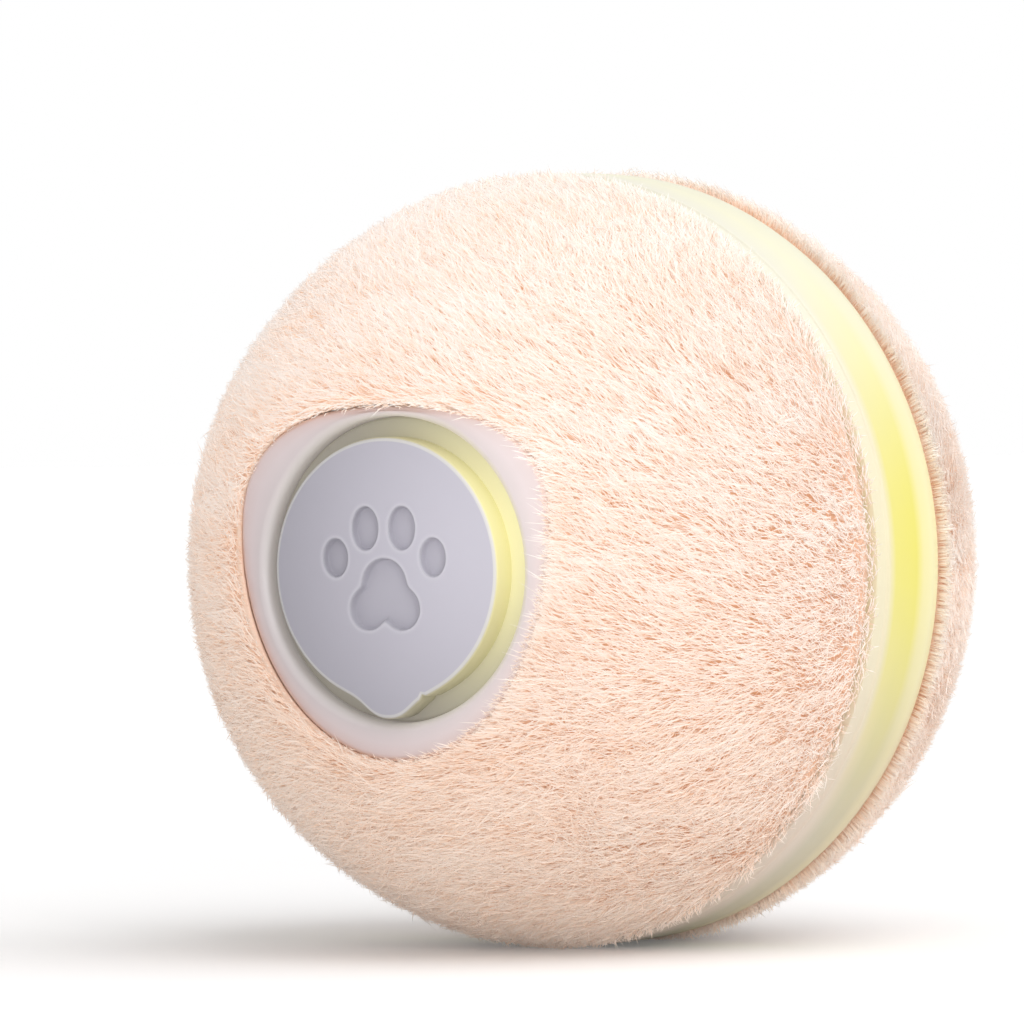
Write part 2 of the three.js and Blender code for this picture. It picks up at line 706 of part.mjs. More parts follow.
function mainBoard() {
  const holes = boardScrewAngles.map((angle) =>
    rod(screwHoleRadius, boardY - overrun, boardBackY + overrun, ...place(wellPostOrbit, angle)),
  );
  const disc = rod(boardRadius, boardY, boardBackY, 0, 0, midSides);
  add("main_board", "board", cut(disc, ...holes));
  ringLedAngles.forEach((angle, i) =>
    chip(`ring_led_${i + 1}`, "led", ledSide, ledHeight, boardY, -1, place(lightRingMiddle, angle)),
  );
  const sides = { controller_chip: controllerSide, charger_chip: chargerSide, motion_sensor: sensorSide };
  Object.entries(sides).forEach(([name, side], i) =>
    chip(name, "chip", side, chipHeight, boardY, -1, place(wellPostOrbit, chipAngles[i])),
  );
}

function batteryAndTray() {
  const half = batterySide / 2 - batteryRound;
  const cell = new THREE.Shape();
  const corners = [[half, -half], [half, half], [-half, half], [-half, -half]];
  corners.forEach(([x, z], i) => cell.absarc(x, z, batteryRound, (i - 1) * quarterTurn, i * quarterTurn));
  const look = { curveSegments: cornerSteps };
  add("battery_cell", "battery", plate(cell, batteryFrontY, batteryFrontY - batteryBackY, look));

  const hat = [[0, trayFrontY], [trayOuter, trayFrontY], [trayOuter, trayFlangeY]];
  hat.push([trayFlangeRadius, trayFlangeY], [trayFlangeRadius, trayBackY], [trayInner, trayBackY]);
  hat.push([trayInner, trayFloorY], [0, trayFloorY]);
  const holes = postAngles.map((angle) =>
    rod(screwHoleRadius, trayBackY - overrun, trayFlangeY + overrun, ...place(postOrbit, angle)),
  );
  const notch = leadNotch(trayBackY - overrun, trayFlangeY + overrun);
  add("battery_tray", "frame", cut(lathe(hat, midSides), ...holes, notch));

  const boardInner = trayOuter + fitGap;
  const annulus = [[boardInner, trayFlangeY], [ledBoardRadius, trayFlangeY]];
  annulus.push([ledBoardRadius, ledBoardTopY], [boardInner, ledBoardTopY]);
  const notches = postAngles.map((angle) => {
    const at = place(postOrbit, angle);
    return rod(screwHeadRadius + fitGap, trayFlangeY - overrun, ledBoardTopY + overrun, ...at);
  });
  const ledNotch = leadNotch(trayFlangeY - overrun, ledBoardTopY + overrun);
  add("led_ring_board", "board", cut(lathe(annulus, midSides), ...notches, ledNotch));
  const orbit = ledBoardRadius - ledSide;
  bandLedAngles.forEach((angle, i) =>
    chip(`band_led_${i + 1}`, "led", ledSide, ledHeight, ledBoardTopY, 1, place(orbit, angle)),
  );
}

// A slot that lets the lead past a plate, open at the plate's edge.
function leadNotch(fromY, toY) {
  const width = 2 * (leadRadius + leadClearance);
  const look = { curveSegments: plugSteps };
  const slot = plate(stadiumShape(width + leadChannel, width), toY, toY - fromY, look);
  slot.translate(ringInner, 0, 0);
  slot.rotateY(-motorLeadAngle);
  return slot;
}

function weightBody() {
  const sector = new THREE.Shape();
  sector.absarc(0, 0, weightRadius, downAngle - weightHalfAngle, downAngle + weightHalfAngle);
  sector.absarc(0, 0, weightInner, downAngle + weightHalfAngle, downAngle - weightHalfAngle, true);
  const look = { curveSegments: hubSides };
  const angles = [downAngle - weightScrewAngle, downAngle + weightScrewAngle];
  const body = plate(sector, carrierY, weightThickness, look);
  const weightHoles = screwHoles(weightScrewOrbit, angles, carrierY, -1, shortScrewLength);
  add("eccentric_weight", "zinc", cut(body, ...weightHoles));

  const arm = new THREE.Shape();
  arm.absarc(0, 0, carrierRadius, downAngle - carrierHalfAngle, downAngle + carrierHalfAngle);
  arm.absarc(0, 0, hubRadius, 0, halfTurn);
  const armPlate = plate(arm, carrierBackY, carrierThickness, look);
  const hub = rod(hubRadius, carrierBackY - hubLength, carrierBackY, 0, 0, hubSides);
  const bore = [carrierBackY - hubLength - overrun, carrierBackY + overrun];
  const sunk = angles.map((angle) => {
    const at = place(weightScrewOrbit, angle);
    return rod(screwHeadRadius + screwGap, carrierBackY - screwHeadHeight, bore[1], ...at);
  });
  const holes = angles.map((angle) => rod(screwHoleRadius, ...bore, ...place(weightScrewOrbit, angle)));
  const shaftBore = rod(shaftRadius + pressGap, ...bore);
  add("weight_carrier", "frame", cut(join(armPlate, hub), shaftBore, ...holes, ...sunk));
  angles.forEach((angle, i) => {
    const length = shortScrewLength - overrun;
    screw(`weight_screw_${i + 1}`, place(weightScrewOrbit, angle), carrierBackY, -1, length);
  });
}

function drivePlate() {
  const disc = rod(plateRadius, plateY, plateBackY, 0, 0, shellSides);
  const pillars = pillarAngles.map((angle) =>
    rod(pillarRadius, plateBackY - overrun, motorPlateY, ...place(pillarOrbit, angle)),
  );
  const through = [plateY - overrun, plateBackY + overrun];
  const holes = postAngles.map((angle) => rod(screwHoleRadius, ...through, ...place(postOrbit, angle)));
  const sunk = postAngles.map((angle) => {
    const at = place(postOrbit, angle);
    return rod(screwHeadRadius + screwGap, through[0], plateY + screwHeadHeight, ...at);
  });
  const pillarHoles = screwHoles(pillarOrbit, pillarAngles, motorPlateY, -1, shortScrewLength);
  const pinHole = rod(pinRadius + pressGap, plateY + fitGap, through[1], 0, gearDistance);
  const bushHole = rod(bushRadius + pressGap, ...through, 0, 0, hubSides);
  const notch = leadNotch(...through);
  const cuts = [...holes, ...sunk, ...pillarHoles, pinHole, bushHole, notch];
  add("drive_plate", "frame", cut(join(disc, ...pillars), ...cuts));

  const bush = [[shaftRadius + runningGap, plateY - bushCollarThickness]];
  bush.push([bushCollar, plateY - bushCollarThickness], [bushCollar, plateY], [bushRadius, plateY]);
  bush.push([bushRadius, plateBackY + bushRise], [shaftRadius + runningGap, plateBackY + bushRise]);
  add("output_bush", "brass", lathe(bush, hubSides));

  const motorDisc = rod(motorPlateRadius, motorPlateY, motorPlateBackY, 0, 0, midSides);
  const span = [motorPlateY - overrun, motorPlateBackY + overrun];
  const motorHoles = pillarAngles.map((angle) =>
    rod(screwHoleRadius, ...span, ...place(pillarOrbit, angle)),
  );
  const bossHole = rod(motorBossRadius + pressGap, ...span, 0, 0, hubSides);
  const backPinHole = rod(pinRadius + pressGap, span[0], motorPlateBackY - fitGap, 0, gearDistance);
  add("motor_plate", "frame", cut(motorDisc, ...motorHoles, bossHole, backPinHole));
}

// Gear layers lie behind one another: wheel and pinion of each stage share the stage's layer.
function gearTrain() {
  const wheelBore = rod(shaftRadius + pressGap, 0, ballRadius);
  const wheel = plate(gearShape(wheelTeeth, quarterTurn), outputWheelY + wheelFace, wheelFace);
  add("output_wheel", "gear", cut(wheel, wheelBore));
  const shaftEnd = outputWheelY + wheelFace + gearSpacing / 2;
  add("output_shaft", "steel", rod(shaftRadius, carrierBackY - hubLength, shaftEnd));

  const compoundWheel = plate(gearShape(wheelTeeth, downAngle), compoundBackY, wheelFace);
  const pinionBack = compoundWheelY + overrun;
  const outline = gearShape(pinionTeeth, downAngle + pinionHalfPitch, pinionFlankSteps);
  const pinion = plate(outline, pinionBack, pinionBack - outputWheelY);
  const compound = cut(join(compoundWheel, pinion), rod(pinRadius + runningGap, 0, ballRadius));
  compound.translate(0, 0, gearDistance);
  add("compound_gear", "gear", compound);
  const pinFrom = plateY + fitGap + runningGap;
  const pinTo = motorPlateBackY - fitGap - runningGap;
  add("compound_pin", "steel", rod(pinRadius, pinFrom, pinTo, 0, gearDistance));
}

function motor() {
  const pinionBack = compoundBackY + gearSpacing / 2;
  const outer = gearShape(pinionTeeth, quarterTurn + pinionHalfPitch, pinionFlankSteps);
  const pinion = plate(outer, pinionBack, pinionBack - compoundWheelY);
  add("motor_pinion", "brass", cut(pinion, rod(motorShaftRadius + pressGap, 0, ballRadius)));
  const shaftEnd = motorBackY - endCapPlug / 2;
  add("motor_shaft", "steel", rod(motorShaftRadius, compoundWheelY, shaftEnd));
  const rotorBore = motorShaftRadius + pressGap;
  const rotor = [[rotorBore, rotorY], [rotorRadius, rotorY], [rotorRadius, rotorBackY]];
  rotor.push([rotorBore, rotorBackY]);
  add("motor_rotor", "brass", lathe(rotor, hubSides));

  const flatAngle = Math.asin(motorFlat / motorRadius);
  const outline = new THREE.Shape();
  outline.absarc(0, 0, motorRadius, -flatAngle, flatAngle);
  outline.absarc(0, 0, motorRadius, halfTurn - flatAngle, halfTurn + flatAngle);
  const look = { curveSegments: canSteps };
  const body = plate(outline, motorBackY, motorLength, look);
  const bossTop = motorPlateBackY - motorBossHeight;
  const boss = rod(motorBossRadius, bossTop, motorPlateBackY + overrun, 0, 0, hubSides);
  const hollowRadius = motorFlat - motorWall;
  const hollowY = motorPlateBackY + motorWall;
  const hollow = rod(hollowRadius, hollowY, motorBackY + overrun, 0, 0, hubSides);
  const shaftHole = rod(motorShaftRadius + fitGap, bossTop - overrun, hollowY + overrun);
  add("motor_can", "steel", cut(join(body, boss), hollow, shaftHole));

  const plugRadius = hollowRadius - runningGap;
  const capPlug = rod(plugRadius, motorBackY - endCapPlug, motorBackY + overrun, 0, 0, hubSides);
  const cap = plate(outline, motorBackY + endCapThickness, endCapThickness, look);
  const capBore = rod(motorShaftRadius + fitGap, 0, motorBackY);
  add("motor_end_cap", "chip", cut(join(cap, capPlug), capBore));
}

// A lead: a round section swept along a smooth curve through its points.
function lead(name, points, steps) {
  const path = new THREE.CatmullRomCurve3(points.map((p) => new THREE.Vector3(...p)));
  const section = new THREE.Shape(
    Array.from({ length: leadSides }, (_, i) =>
      new THREE.Vector2(...place(leadRadius, (fullTurn * i) / leadSides)),
    ),
  );
  const made = new THREE.ExtrudeGeometry(section, { extrudePath: path, steps, bevelEnabled: false });
  add(name, "lead", made);
}

// The motor's lead hugs the shells past the swinging weight, from the end cap to the main board.
function leads() {
  const wallOrbit = cavityRadius - leadRadius - fitGap;
  const channel = ringInner - leadChannel / 2;
  const onWall = (y) => sphereAt(wallOrbit, y);
  const capY = motorBackY + endCapThickness + leadRadius + fitGap;
  const route = [[rotorRadius / 2, capY], [onWall(capY), capY]];
  route.push([onWall(motorBackY - motorWall), motorBackY - motorWall]);
  route.push([onWall(motorPlateBackY + pillarRadius), motorPlateBackY + pillarRadius]);
  route.push([(onWall(compoundWheelY) + channel) / 2, compoundWheelY]);
  route.push([channel, plateBackY], [channel, 0], [channel, trayFlangeY]);
  route.push([channel, trayBackY], [(channel + boardRadius) / 2, (trayBackY + boardBackY) / 2]);
  route.push([boardRadius - leadRadius - leadRadius, boardBackY + fitGap]);
  const points = route.map(([orbit, y]) => {
    const [x, z] = place(orbit, motorLeadAngle);
    return [x, y, z];
  });
  lead("motor_lead", points, motorLeadSteps);

  const out = batterySide / 2 + fitGap;
  const bend = out + leadRadius + leadRadius;
  const middleY = (batteryFrontY + batteryBackY) / 2;
  const descent = [[out, middleY], [bend, (middleY + batteryBackY) / 2], [bend, boardBackY + fitGap]];
  lead("battery_lead", descent.map(([z, y]) => [batteryLeadX, y, z]), batteryLeadSteps);
}

function screws() {
  postAngles.forEach((angle, i) => {
    const length = screwLength + plateThickness - screwHeadHeight - overrun;
    screw(`drive_plate_screw_${i + 1}`, place(postOrbit, angle), plateY, 1, length);
    const trayScrew = screwLength + trayFlangeThickness - overrun;
    screw(`tray_screw_${i + 1}`, place(postOrbit, angle), trayFlangeY + screwHeadHeight, -1, trayScrew);
  });
  pillarAngles.forEach((angle, i) => {
    const length = shortScrewLength + motorPlateThickness - overrun;
    const headY = motorPlateBackY + screwHeadHeight;
    screw(`motor_plate_screw_${i + 1}`, place(pillarOrbit, angle), headY, -1, length);
  });
  wellScrewAngles.forEach((angle, i) => {
    const length = shortScrewLength + wellFlangeThickness - overrun;
    const headY = wellBackY + screwHeadHeight;
    screw(`well_screw_${i + 1}`, place(wellPostOrbit, angle), headY, -1, length);
  });
  boardScrewAngles.forEach((angle, i) => {
    const length = shortScrewLength + boardThickness - overrun;
    const headY = boardBackY + screwHeadHeight;
    screw(`board_screw_${i + 1}`, place(wellPostOrbit, angle), headY, -1, length);
  });
}

shells();
furCovers();
gripBand();
portBezel();
portLightRing();
portWell();
portCover();
powerKey();
chargingSocket();
mainBoard();
batteryAndTray();
weightBody();
drivePlate();
gearTrain();
motor();
leads();
screws();

const group = new THREE.Group();
group.add(ball);
export default group;
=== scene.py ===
# %% [markdown]
# # A self rolling cat ball
# The real ball is two hard half shells in plush covers, with a soft grip band between them. A motor
# inside swings a weight, so the ball rolls by itself, and a rubber cover at one pole hides the charging
# port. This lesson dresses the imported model, piece by piece, and stands it on a white floor.

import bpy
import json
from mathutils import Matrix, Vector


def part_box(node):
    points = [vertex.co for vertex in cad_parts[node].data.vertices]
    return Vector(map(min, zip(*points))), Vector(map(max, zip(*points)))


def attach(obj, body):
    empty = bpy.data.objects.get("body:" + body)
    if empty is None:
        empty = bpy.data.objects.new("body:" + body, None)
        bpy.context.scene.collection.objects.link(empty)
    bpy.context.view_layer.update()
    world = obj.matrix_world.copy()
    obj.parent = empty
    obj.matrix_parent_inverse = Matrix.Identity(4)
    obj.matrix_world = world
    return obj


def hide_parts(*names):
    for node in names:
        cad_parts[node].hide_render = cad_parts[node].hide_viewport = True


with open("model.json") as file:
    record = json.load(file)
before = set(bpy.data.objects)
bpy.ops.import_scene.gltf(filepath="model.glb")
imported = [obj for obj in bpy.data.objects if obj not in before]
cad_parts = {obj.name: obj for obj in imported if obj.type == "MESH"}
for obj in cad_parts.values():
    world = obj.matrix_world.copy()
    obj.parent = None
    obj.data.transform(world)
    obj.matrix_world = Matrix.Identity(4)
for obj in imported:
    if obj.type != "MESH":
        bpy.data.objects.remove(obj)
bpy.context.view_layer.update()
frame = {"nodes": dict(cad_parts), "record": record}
print("CAD nodes:", len(frame["nodes"]))

# %% [markdown]
# ## Millimetres from the ball's middle
# Blender holds metres, but every form here is round about one point, so shapes are worked out in
# millimetres from the middle of the ball and placed once. The model gives that middle and the main
# radii, so that nothing has to be fitted by eye.

# %% Units, the middle and the main radii
import json
import math

import bmesh
import bpy
import numpy as np
from mathutils import Matrix, Vector

MM = 0.001
tiny = 1e-6
middle = np.mean(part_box("grip_band"), axis=0)


def span(node):
    """A CAD node's lowest and highest corners, in millimetres from the ball's middle."""
    return (np.array(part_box(node)) - middle) / MM


def add_object(name, data):
    """A new object that shows that data, linked into the scene."""
    made = bpy.data.objects.new(name, data)
    bpy.context.scene.collection.objects.link(made)
    return made


ball_radius = span("drive_side_fur")[1][1]
tread_radius = middle[2] / MM
band_half = span("grip_band")[1][1]
print(f"ball radius {ball_radius:.2f}, tread radius {tread_radius:.2f}, band half {band_half:.2f} mm")

# %% [markdown]
# ## The camera
# The photograph was taken from about the height of the ball, a little to the right of its port. A ball
# looks the same from everywhere but for its silhouette's size and place, so those two fix the lens and
# the shift of the view, and the port's place on the ball fixes the angles. The band leans a little in
# the photograph, so the camera is rolled by about a degree.

# %% Camera
IMAGE_SIDE = 1024
SENSOR_WIDTH = 36
photo_middle = (579, 559)
photo_radius = 389
photo_azimuth = math.radians(33.0)
photo_elevation = math.radians(1.0)
photo_roll = math.radians(1.2)
distance_in_radii = 20
camera_distance = distance_in_radii * ball_radius * MM


def direction(azimuth, elevation):
    """The unit vector towards a place round the ball: azimuth 0 is the port's side, 90 degrees is +X."""
    flat = math.cos(elevation)
    return Vector((math.sin(azimuth) * flat, -math.cos(azimuth) * flat, math.sin(elevation)))


view_back = direction(photo_azimuth, photo_elevation)
level_right = direction(photo_azimuth + math.pi / 2, 0)
level_up = view_back.cross(level_right)
view_right = level_right * math.cos(photo_roll) - level_up * math.sin(photo_roll)
view_up = view_back.cross(view_right)
focal_pixels = photo_radius * camera_distance / (ball_radius * MM)
metres_per_pixel = camera_distance / focal_pixels
aside, below = ((value - IMAGE_SIDE / 2) * metres_per_pixel for value in photo_middle)

camera = add_object("camera", bpy.data.cameras.new("camera"))
camera.data.sensor_width = SENSOR_WIDTH
camera.data.lens = focal_pixels * SENSOR_WIDTH / IMAGE_SIDE
camera.matrix_world = Matrix.Translation(
    Vector(middle) + view_back * camera_distance - view_right * aside + view_up * below
) @ Matrix((view_right, view_up, view_back)).transposed().to_4x4()
bpy.context.scene.camera = camera
print(f"lens {camera.data.lens:.0f} mm at {camera_distance:.2f} m")

# %% [markdown]
# ## Materials from nodes
# A node graph could be wired node by node, but it is easier to read as nested calls. So one helper makes
# a node, sets the sockets that get a number and links those that get another node's socket, and a few
# more name the steps that the finishes share.

# %% Node helpers
noise_detail = 3


def srgb(red, green, blue):
    """The linear colour of three 8-bit screen values: a gamma curve, straight near black."""
    values = np.array([red, green, blue]) / 255
    linear = np.where(values <= 0.04045, values / 12.92, ((values + 0.055) / 1.055) ** 2.4)
    return (*(float(v) for v in linear), 1.0)


def shade(colour, factor):
    """A colour made darker or lighter by a factor, within the range of a surface."""
    return (*(min(1.0, c * factor) for c in colour[:3]), 1.0)


def feed(tree, node, sockets):
    """Gives inputs of a node, by name or number, a value each, or links the output that feeds them."""
    for key, value in sockets.items():
        if isinstance(value, bpy.types.NodeSocket):
            tree.links.new(value, node.inputs[key])
        else:
            node.inputs[key].default_value = value


def make(tree, kind, sockets=None, **settings):
    """A new node of that kind. Settings are its own properties, and sockets are what feeds it."""
    made = tree.nodes.new("ShaderNode" + kind)
    for name, value in settings.items():
        setattr(made, name, value)
    feed(tree, made, sockets or {})
    return made


def new_material(name):
    """An empty material with a Principled shader on its output: (material, tree, shader)."""
    material = bpy.data.materials.new(name)
    material.use_nodes = True
    tree = material.node_tree
    return material, tree, tree.nodes["Principled BSDF"]


def calculated(tree, operation, *values):
    """One step of arithmetic on numbers or sockets."""
    return make(tree, "Math", dict(enumerate(values)), operation=operation).outputs[0]


def attribute(tree, name):
    """The value of one of the mesh's own attributes."""
    return make(tree, "Attribute", attribute_name=name).outputs["Fac"]


def place_in(tree):
    """The place of the point that is shaded, in the object's own coordinates."""
    return make(tree, "TexCoord").outputs["Object"]


def object_noise(tree, size, stretch=(1, 1, 1)):
    """The value of a noise whose lumps are size millimetres across, stretched along the axes."""
    scaled = make(tree, "Mapping", {"Vector": place_in(tree), "Scale": stretch})
    sockets = {"Vector": scaled.outputs[0], "Scale": 1 / (size * MM), "Detail": noise_detail}
    return make(tree, "TexNoise", sockets).outputs["Fac"]


def distance_along(tree, way):
    """How far a point lies from the ball's middle along a direction, in metres."""
    sockets = {0: place_in(tree), 1: tuple(middle)}
    from_middle = make(tree, "VectorMath", sockets, operation="SUBTRACT").outputs[0]
    return make(tree, "VectorMath", {0: from_middle, 1: way}, operation="DOT_PRODUCT").outputs["Value"]


def ramp(tree, factor, *stops):
    """A colour ramp over factor, with stops given as (position, colour)."""
    made = make(tree, "ValToRGB", {"Fac": factor})
    elements = made.color_ramp.elements
    while len(elements) < len(stops):
        elements.new(1)
    for element, (position, colour) in zip(elements, stops):
        element.position = position
        element.color = colour
    return made.outputs["Color"]


def spread(tree, value, low, high, from_low=0.3, from_high=0.7, **settings):
    """Maps a value between two limits onto another pair of limits."""
    sockets = {0: value, 1: from_low, 2: from_high, 3: low, 4: high}
    return make(tree, "MapRange", sockets, **settings).outputs["Result"]


def mixed(tree, factor, first, second, blend="MIX"):
    """The first colour blended with the second, by that factor."""
    sockets = {"Factor": factor, 6: first, 7: second}
    return make(tree, "Mix", sockets, data_type="RGBA", blend_type=blend).outputs[2]


def bumped(tree, shader, height, depth):
    """Feeds the shader's normal from a height, where depth is the relief in millimetres."""
    bump = make(tree, "Bump", {"Height": height, "Distance": depth * MM, "Strength": 1.0})
    feed(tree, shader, {"Normal": bump.outputs["Normal"]})


print("white in linear values:", srgb(255, 255, 255)[:3])

# %% [markdown]
# ## Plain finishes of the CAD nodes
# Most nodes lie inside the ball and keep their CAD shape. Moulded plastic has a fine spark-eroded grain
# and slow changes of tone, and metal has drawn or turned lines. Each could have a node graph of its own,
# but the graphs would differ in a few numbers only. So one function makes them all from a colour, a
# roughness, and the size and stretch of the grain.

# %% Plain finishes
patch_grains = 14
patch_places = (0.35, 0.65)
roughness_spread = 0.06
turned = (1, 12, 1)
drawn = (10, 1, 1)


def plain_finish(
    name, colour, roughness, grain=0.15, relief=0.004, metal=0.0, stretch=(1, 1, 1), tone=0.05
):
    """A surface whose colour, roughness and relief all vary: broad patches of tone over fine grain. The
    colour is given in 8-bit values."""
    material, tree, shader = new_material(name)
    colour = srgb(*colour)
    fine = object_noise(tree, grain, stretch=stretch)
    patches = object_noise(tree, patch_grains * grain)
    tones = shade(colour, 1 - tone), shade(colour, 1 + tone)
    uneven = spread(tree, fine, roughness - roughness_spread, roughness + roughness_spread)
    patched = ramp(tree, patches, *zip(patch_places, tones))
    feed(tree, shader, {"Base Color": patched, "Roughness": uneven, "Metallic": metal})
    bumped(tree, shader, fine, relief)
    return material


finishes = {
    "shell": plain_finish("moulded shell", (244, 236, 230), 0.5),
    "well": plain_finish("port well plastic", (190, 186, 196), 0.45, grain=0.1),
    "frame": plain_finish("inner frame plastic", (233, 233, 234), 0.5),
    "gear": plain_finish("gear plastic", (242, 240, 234), 0.42, grain=0.08),
    "board": plain_finish("solder mask", (44, 107, 69), 0.38, grain=0.3, relief=0.01, tone=0.12),
    "chip": plain_finish("black epoxy", (34, 34, 37), 0.42, grain=0.06),
    "led": plain_finish("lamp epoxy", (246, 242, 192), 0.3, grain=0.1),
    "steel": plain_finish("plated steel", (186, 189, 193), 0.32, metal=1.0, stretch=turned),
    "zinc": plain_finish("cast zinc", (160, 163, 168), 0.5, grain=0.25, relief=0.012, metal=1.0),
    "brass": plain_finish("turned brass", (201, 164, 82), 0.34, metal=1.0, stretch=turned),
    "battery": plain_finish("battery foil", (199, 202, 207), 0.36, metal=0.6, stretch=drawn),
    "lead": plain_finish("lead insulation", (179, 49, 44), 0.5),
    "silicone": plain_finish("silicone", (186, 184, 196), 0.62, 0.12, 0.003, tone=0.02),
    "diffuser": plain_finish("frosted ring plastic", (250, 246, 200), 0.5),
    "bezel": plain_finish("bezel plastic", (222, 210, 214), 0.38, 0.1, 0.002, tone=0.015),
    "fur": plain_finish("plush backing", (236, 188, 150), 0.9, grain=0.3, relief=0.05),
    "band": plain_finish("band silicone", (232, 226, 204), 0.42),
}

for row in frame["record"]["subparts"]:
    node_mesh = frame["nodes"][row["node"]].data
    node_mesh.materials.clear()
    node_mesh.materials.append(finishes[row["material_slot"]])

# %% [markdown]
# ## Surfaces from rings of points
# The band, the bezel, the ring and the cover are all rings of points, carried along a closed section or
# between two poles. A lathe tool and a bridge tool could make some of them, but one function that turns
# such a grid into a mesh makes all. It measures the mesh's volume, by adding up the small pyramids
# between each face and the middle, and turns the faces round if that is negative.

# %% Meshes from grids
def turn_outward(points, quads):
    """The faces, reversed if the volume that they enclose comes out negative."""
    centred = points - points.mean(axis=0)
    a, b, c, d = (centred[quads[:, i]] for i in range(4))
    volume = np.einsum("ij,ij->i", a, np.cross(b, c) + np.cross(c, d)).sum()
    return quads if volume > 0 else quads[:, ::-1]


def join_model(piece, node, body):
    """Lets a piece ride a body, and hides the CAD node that it stands for, if any."""
    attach(piece, body)
    if node:
        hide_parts(node)
    print(piece.name, "faces:", len(piece.data.polygons))


def build_mesh(name, node, points, faces, material, body="root", smooth=True, marks=None):
    """A piece from points in millimetres and a list of face arrays, each with its own corner count. A
    mark is a number for each point, which the material reads as an attribute."""
    mesh = bpy.data.meshes.new(name)
    mesh.vertices.add(len(points))
    mesh.vertices.foreach_set("co", (points * MM + middle).astype(np.float32).ravel())
    corners = np.concatenate([group.ravel() for group in faces])
    counts = np.concatenate([np.full(len(group), group.shape[1]) for group in faces])
    mesh.loops.add(len(corners))
    mesh.loops.foreach_set("vertex_index", corners.astype(np.int32))
    mesh.polygons.add(len(counts))
    mesh.polygons.foreach_set("loop_start", (np.cumsum(counts) - counts).astype(np.int32))
    mesh.polygons.foreach_set("use_smooth", np.full(len(counts), smooth))
    mesh.update(calc_edges=True)
    mesh.validate()
    for label, values in (marks or {}).items():
        layer = mesh.attributes.new(label, "FLOAT", "POINT")
        layer.data.foreach_set("value", np.asarray(values, np.float32))
    mesh.materials.append(material)
    piece = add_object(name, mesh)
    join_model(piece, node, body)
    return piece


def fan(row, tip):
    """Triangles from each pair of neighbours in a closed row of points to one tip."""
    return np.stack([np.full(len(row), tip), np.roll(row, -1), row], axis=1)


def ring_piece(name, node, rings, material, body="root", closed=True, marks=None):
    """A piece from rings, an array of rows of points. The rows join end to end if closed, and otherwise
    the first and last row are each closed by a fan to their middle. A mark has a number for each point
    of the rings."""
    rows, columns = rings.shape[:2]
    points = rings.reshape(-1, 3)
    marks = {label: np.broadcast_to(row, (rows, columns)).ravel() for label, row in (marks or {}).items()}
    index = np.arange(rows * columns).reshape(rows, columns)
    near, following = (index, np.roll(index, -1, axis=0)) if closed else (index[:-1], index[1:])
    near_next, following_next = np.roll(near, -1, axis=1), np.roll(following, -1, axis=1)
    quads = np.stack([near, near_next, following_next, following], axis=-1).reshape(-1, 4)
    faces = [turn_outward(points, quads)]
    if not closed:
        flip = faces[0] is not quads
        first, last = len(points), len(points) + 1
        points = np.vstack([points, rings[0].mean(axis=0), rings[-1].mean(axis=0)])
        marks = {label: np.append(values, (values[0], values[-1])) for label, values in marks.items()}
        caps = np.vstack([fan(index[0], first), fan(index[-1], last)[:, ::-1]])
        faces.append(caps[:, ::-1] if flip else caps)
    build_mesh(name, node, points, faces, material, body, marks=marks)


def rounded(rows, steps=6):
    """A closed outline from rows of corner and rounding. Each corner is swapped for a parabola: it leaves
    the corner's two sides at the rounding's distance from the corner, and weighs side, corner and side by
    (1-s)^2, 2s(1-s) and s^2."""
    corners, radii = np.array(rows, float)[:, :2], np.array(rows, float)[:, 2]
    before, after = np.roll(corners, 1, axis=0), np.roll(corners, -1, axis=0)
    s = np.linspace(0, 1, steps)[:, None]
    outline = []
    for corner, back, ahead, radius in zip(corners, before, after, radii):
        start = corner + (back - corner) * radius / np.linalg.norm(back - corner)
        end = corner + (ahead - corner) * radius / np.linalg.norm(ahead - corner)
        outline.append((1 - s) ** 2 * start + 2 * s * (1 - s) * corner + s**2 * end)
    return np.vstack(outline)


def full_turn(columns):
    """Angles spread evenly over a turn."""
    return np.linspace(0, 2 * math.pi, columns, endpoint=False)


def round_axis(reach, along, angle):
    """Points at that reach from the ball's axis: X and Z are the angle's cosine and sine times it."""
    return np.stack([reach * np.cos(angle), along + 0 * angle, reach * np.sin(angle)], axis=-1)


def turned_about_axis(profile, columns):
    """Rings that carry a profile of (radius, place along Y) round the ball's axis."""
    return round_axis(profile[:, :1], profile[:, 1:], full_turn(columns))


print("grid helpers ready")

# %% [markdown]
# ## Milky plastic over a lamp
# The band, the ring round the port and the rim of its cover are milky, and lamps behind them make them
# glow at one side. Tracing light inside the plastic is slow and would not survive the export. So each of
# their finishes takes a factor that falls from 1 at the lamp to 0 at its reach, and fades colour and glow
# with it. What their materials share is written once: faint clouds, a light of their own and a satin face.

# %% Glow
pure_white = (1.0, 1.0, 1.0, 1.0)
no_light = (0.0, 0.0, 0.0, 1.0)
cloud_size = 0.9
cloud_depth = 0.03
milky_grain = 0.08
satin_spread = 0.05
satin_relief = 0.002


def glow_near(tree, place, reach):
    """1 at a place, given in millimetres from the middle, falling smoothly to 0 at that reach."""
    sockets = {0: place_in(tree), 1: tuple(np.array(place) * MM + middle)}
    gap = make(tree, "VectorMath", sockets, operation="DISTANCE").outputs["Value"]
    return spread(tree, gap, 1.0, 0.0, 0.0, reach * MM, interpolation_type="SMOOTHSTEP")


def clouded(tree, cloud, colour):
    """A colour that is slightly darker where the cloud is thin."""
    veil = mixed(tree, cloud, shade(pure_white, 1 - cloud_depth), pure_white)
    return mixed(tree, 1.0, colour, veil, "MULTIPLY")


